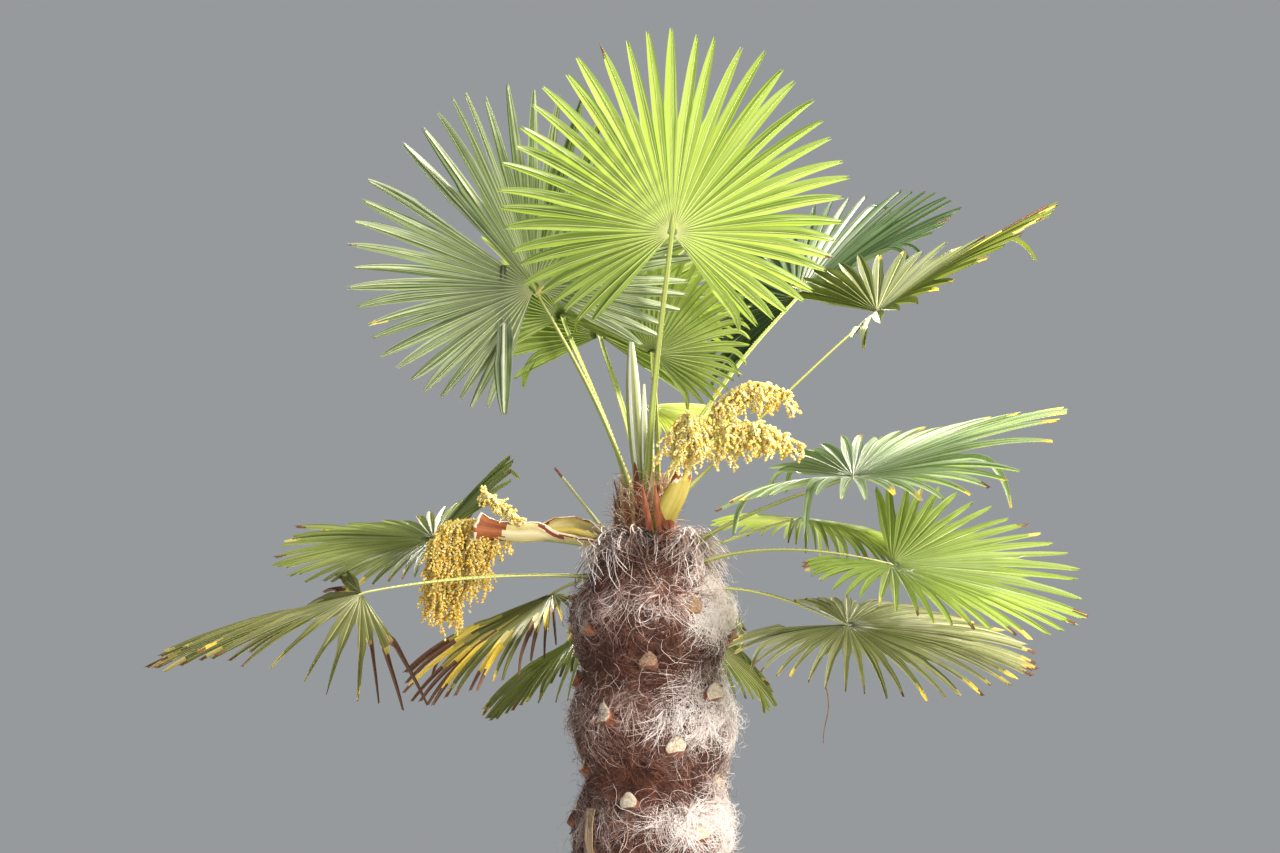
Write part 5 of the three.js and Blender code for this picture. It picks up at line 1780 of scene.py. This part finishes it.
@dataclass
class Extras:
    """The unopened leaves and the cut stalk of a dead frond."""

    spears: tuple[tuple[tuple[Triple, ...], float], ...] = (
        (((-22, -4, 2020), (-36, -9, 2200), (-44, -12, 2362)), 17.0),
        (((-8, -12, 1992), (-13, -15, 2110), (-14, -14, 2262)), 8.5),
        (((6, -16, 1990), (3, -18, 2100), (2, -18, 2216)), 6.5),
    )
    spear_pleats: int = 14
    spear_rows: int = 46
    cut_path: tuple[Triple, ...] = ((-66, 32, 1870), (-140, 58, 1968), (-222, 80, 2072))
    cut_rows: int = 30

    def spear(self) -> None:
        """Makes the unopened leaves, their pleats still packed side by side."""
        rows = self.spear_rows
        along = np.linspace(0, 1, rows)
        section = [(x * depth, y * depth * 0.9)
                   for (x, y), depth in zip(polygon(self.spear_pleats * 2), (1.0, 0.76) * self.spear_pleats)]
        column = np.tile(np.arange(len(section)), rows - 1)
        sheaf = Sheaf()
        for points, half_width in self.spears:
            sizes = half_width * MM * (0.75 + 0.4 * np.sin(np.pi * along) - 0.4 * along ** 3)
            rings = sweep(smooth_path(points, rows), section, sizes, np.array((0, 1.0, 0)))
            # Painted sheen: two faces in every six round each spear take the near white slot.
            add_tube(sheaf, rings, np.where(column % 6 < 2, 1, 0))
        materials = make_all(
            # Packed leaf, grown: a pale waxy green.
            RindFinish("spear_green", "#a4ae6c", "#c2c88e", 0.42, 0.1),
            # Painted sheen: nearly white, dull stripes on some of its folds that stand for the light they
            # reflect.
            RindFinish("spear_sheen", "#f8f9ee", "#fffffa", 0.6, 0.05))
        place_piece(sheaf.build("spear_leaf", materials), ["unopened_leaf"])

    def cut_stalk(self) -> None:
        """Makes the grey dry stalk with its browned, ragged end."""
        rows = self.cut_rows
        sizes = 0.0095 - 0.0036 * np.linspace(0, 1, rows)
        rings = sweep(smooth_path(self.cut_path, rows), STALK_SECTION, sizes, np.array((-0.6, 0.2, 1.0)))
        sheaf = Sheaf()
        row = np.repeat(np.arange(rows - 1), len(STALK_SECTION))
        add_tube(sheaf, rings, np.where(row > rows - 5, 1, 0))
        materials = make_all(
            # Leaf stalk, drying: grey green with straw streaks.
            RindFinish("dry_stalk", "#7f8a56", "#b0ac84", 0.6),
            # Its withered end: dull brown and fibrous.
            FibreFinish("dry_stalk_end", "#5a3626", "#8a5a3a", 0.004))
        place_piece(sheaf.build("dry_stalk_rod", materials), ["cut_stalk"])


# ---- studio ----


@dataclass
class Studio:
    """A pale floor, soft light with a high key from the right, and the camera."""

    camera_place: Triple = (-0.023, -8.0, 1.62)
    camera_target: Triple = (-0.023, 0.0, 2.164)
    lens: float = 96.97
    sky: str = "#e9edf0"
    sky_strength: float = 0.38
    sensor_width: float = 36
    sees_to: float = 200
    floor_size: float = 40.0
    floor_level: float = -0.002
    lights: tuple[tuple[str, Triple, float, float, str], ...] = (
        ("key", (3.1, 0.7, 8.0), 0.9, 1800, "#fff6e8"), ("side", (2.2, -2.6, 2.6), 0.9, 210, "#fff6ec"),
        ("back", (1.2, 5.2, 5.6), 1.4, 560, "#fffaf0"), ("fill", (-2.5, -6.0, 3.2), 3.5, 90, "#f4f6ff"))
    lit_place: Triple = (0, 0, 2.1)

    def build(self) -> None:
        """Makes the camera, the lights, the world and the floor."""
        scene = bpy.context.scene
        camera = bpy.data.objects.new("camera", bpy.data.cameras.new("camera"))
        scene.collection.objects.link(camera)
        self.aim(camera, self.camera_place, self.camera_target)
        camera.data.lens = self.lens
        camera.data.sensor_width = self.sensor_width
        camera.data.clip_end = self.sees_to
        scene.camera = camera
        scene.view_settings.view_transform = "Standard"
        for name, place, size, power, colour in self.lights:
            lamp = bpy.data.lights.new(name, "AREA")
            lamp.size, lamp.energy, lamp.color = size, power, linear(colour)[:3]
            holder = bpy.data.objects.new(name, lamp)
            scene.collection.objects.link(holder)
            self.aim(holder, place, self.lit_place)
        world = bpy.data.worlds.new("sky")
        scene.world = world
        world.use_nodes = True
        air = world.node_tree.nodes["Background"]
        air.inputs["Color"].default_value = linear(self.sky)
        air.inputs["Strength"].default_value = self.sky_strength
        bpy.ops.object.select_all(action="DESELECT")
        bpy.ops.mesh.primitive_plane_add(size=self.floor_size, location=(0, 0, self.floor_level))
        floor = bpy.context.object
        floor.name = "floor"
        # Painted studio floor, rolled: a plain pale grey with clouds 0.8 m wide, hardly seen.
        material, tree = new_tree("pale_floor")
        colour = lay_over(tree, "#a9a8a4", "#afaeab", noise(tree, 0.8, contrast=(0.2, 0.8)))
        face = add_node(tree, "ShaderNodeBsdfPrincipled", {"Roughness": 0.8, "Base Color": colour})
        add_node(tree, "ShaderNodeOutputMaterial", {"Surface": face.outputs[0]})
        floor.data.materials.append(material)

    @staticmethod
    def aim(holder: bpy.types.Object, place: Triple, target: Triple) -> None:
        """Puts a camera or a light at its place, turned to its target.

        Args:
            holder: The camera or the light.
            place: Where it is, in metres.
            target: What it looks at.
        """
        holder.location = place
        holder.rotation_euler = (Vector(target) - Vector(place)).to_track_quat("-Z", "Y").to_euler()


def corners(box: tuple[Vector, Vector]) -> list[list[float]]:
    """A box's two corners as plain lists."""
    return [list(corner) for corner in box]


def main() -> None:
    """Builds the palm piece by piece."""
    logging.basicConfig(level=logging.INFO, format="%(name)s %(message)s")
    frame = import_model()
    LOG.info("frame: %d solids", len(frame["nodes"]))
    Studio().build()
    turned = make_all(
        # Leaf that turns, grown: a tired yellow green.
        LeafFinish("leaf_turning", "#9a9048", "#c0b674", "#b8ac40", 0.36, 0.46),
        # Leaf that has turned: clear yellow, bright with the light behind it.
        LeafFinish("leaf_turned_yellow", "#e2c238", "#f2de78", "#f4dc24", 0.46, 0.5),
        # Dead leaf, dried: dull brown that lets little light through.
        LeafFinish("leaf_turned_brown", "#4a2f26", "#8c6a54", "#604028", 0.14, 0.7))
    rinds = make_all(
        # Leaf stalk, grown: a smooth, waxy green rind with pale streaks.
        RindFinish("leaf_stalk_rind", "#76863a", "#a7b362"),
        # Its margin, worn by the wind: a paler line.
        RindFinish("leaf_stalk_margin", "#b9bc6e", "#d9d89c"),
        # Its teeth: hard, horn brown points.
        RindFinish("leaf_stalk_tooth", "#8a7a46", "#b0a068"))
    Stem().build()
    heart = CrownHeart()
    heart.core()
    heart.threads()
    for frond in FRONDS:
        frond.stalk(rinds)
        frond.blade(turned)
    Blossom().build()
    extras = Extras()
    extras.spear()
    extras.cut_stalk()
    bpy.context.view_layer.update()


if __name__ == "__main__":
    main()
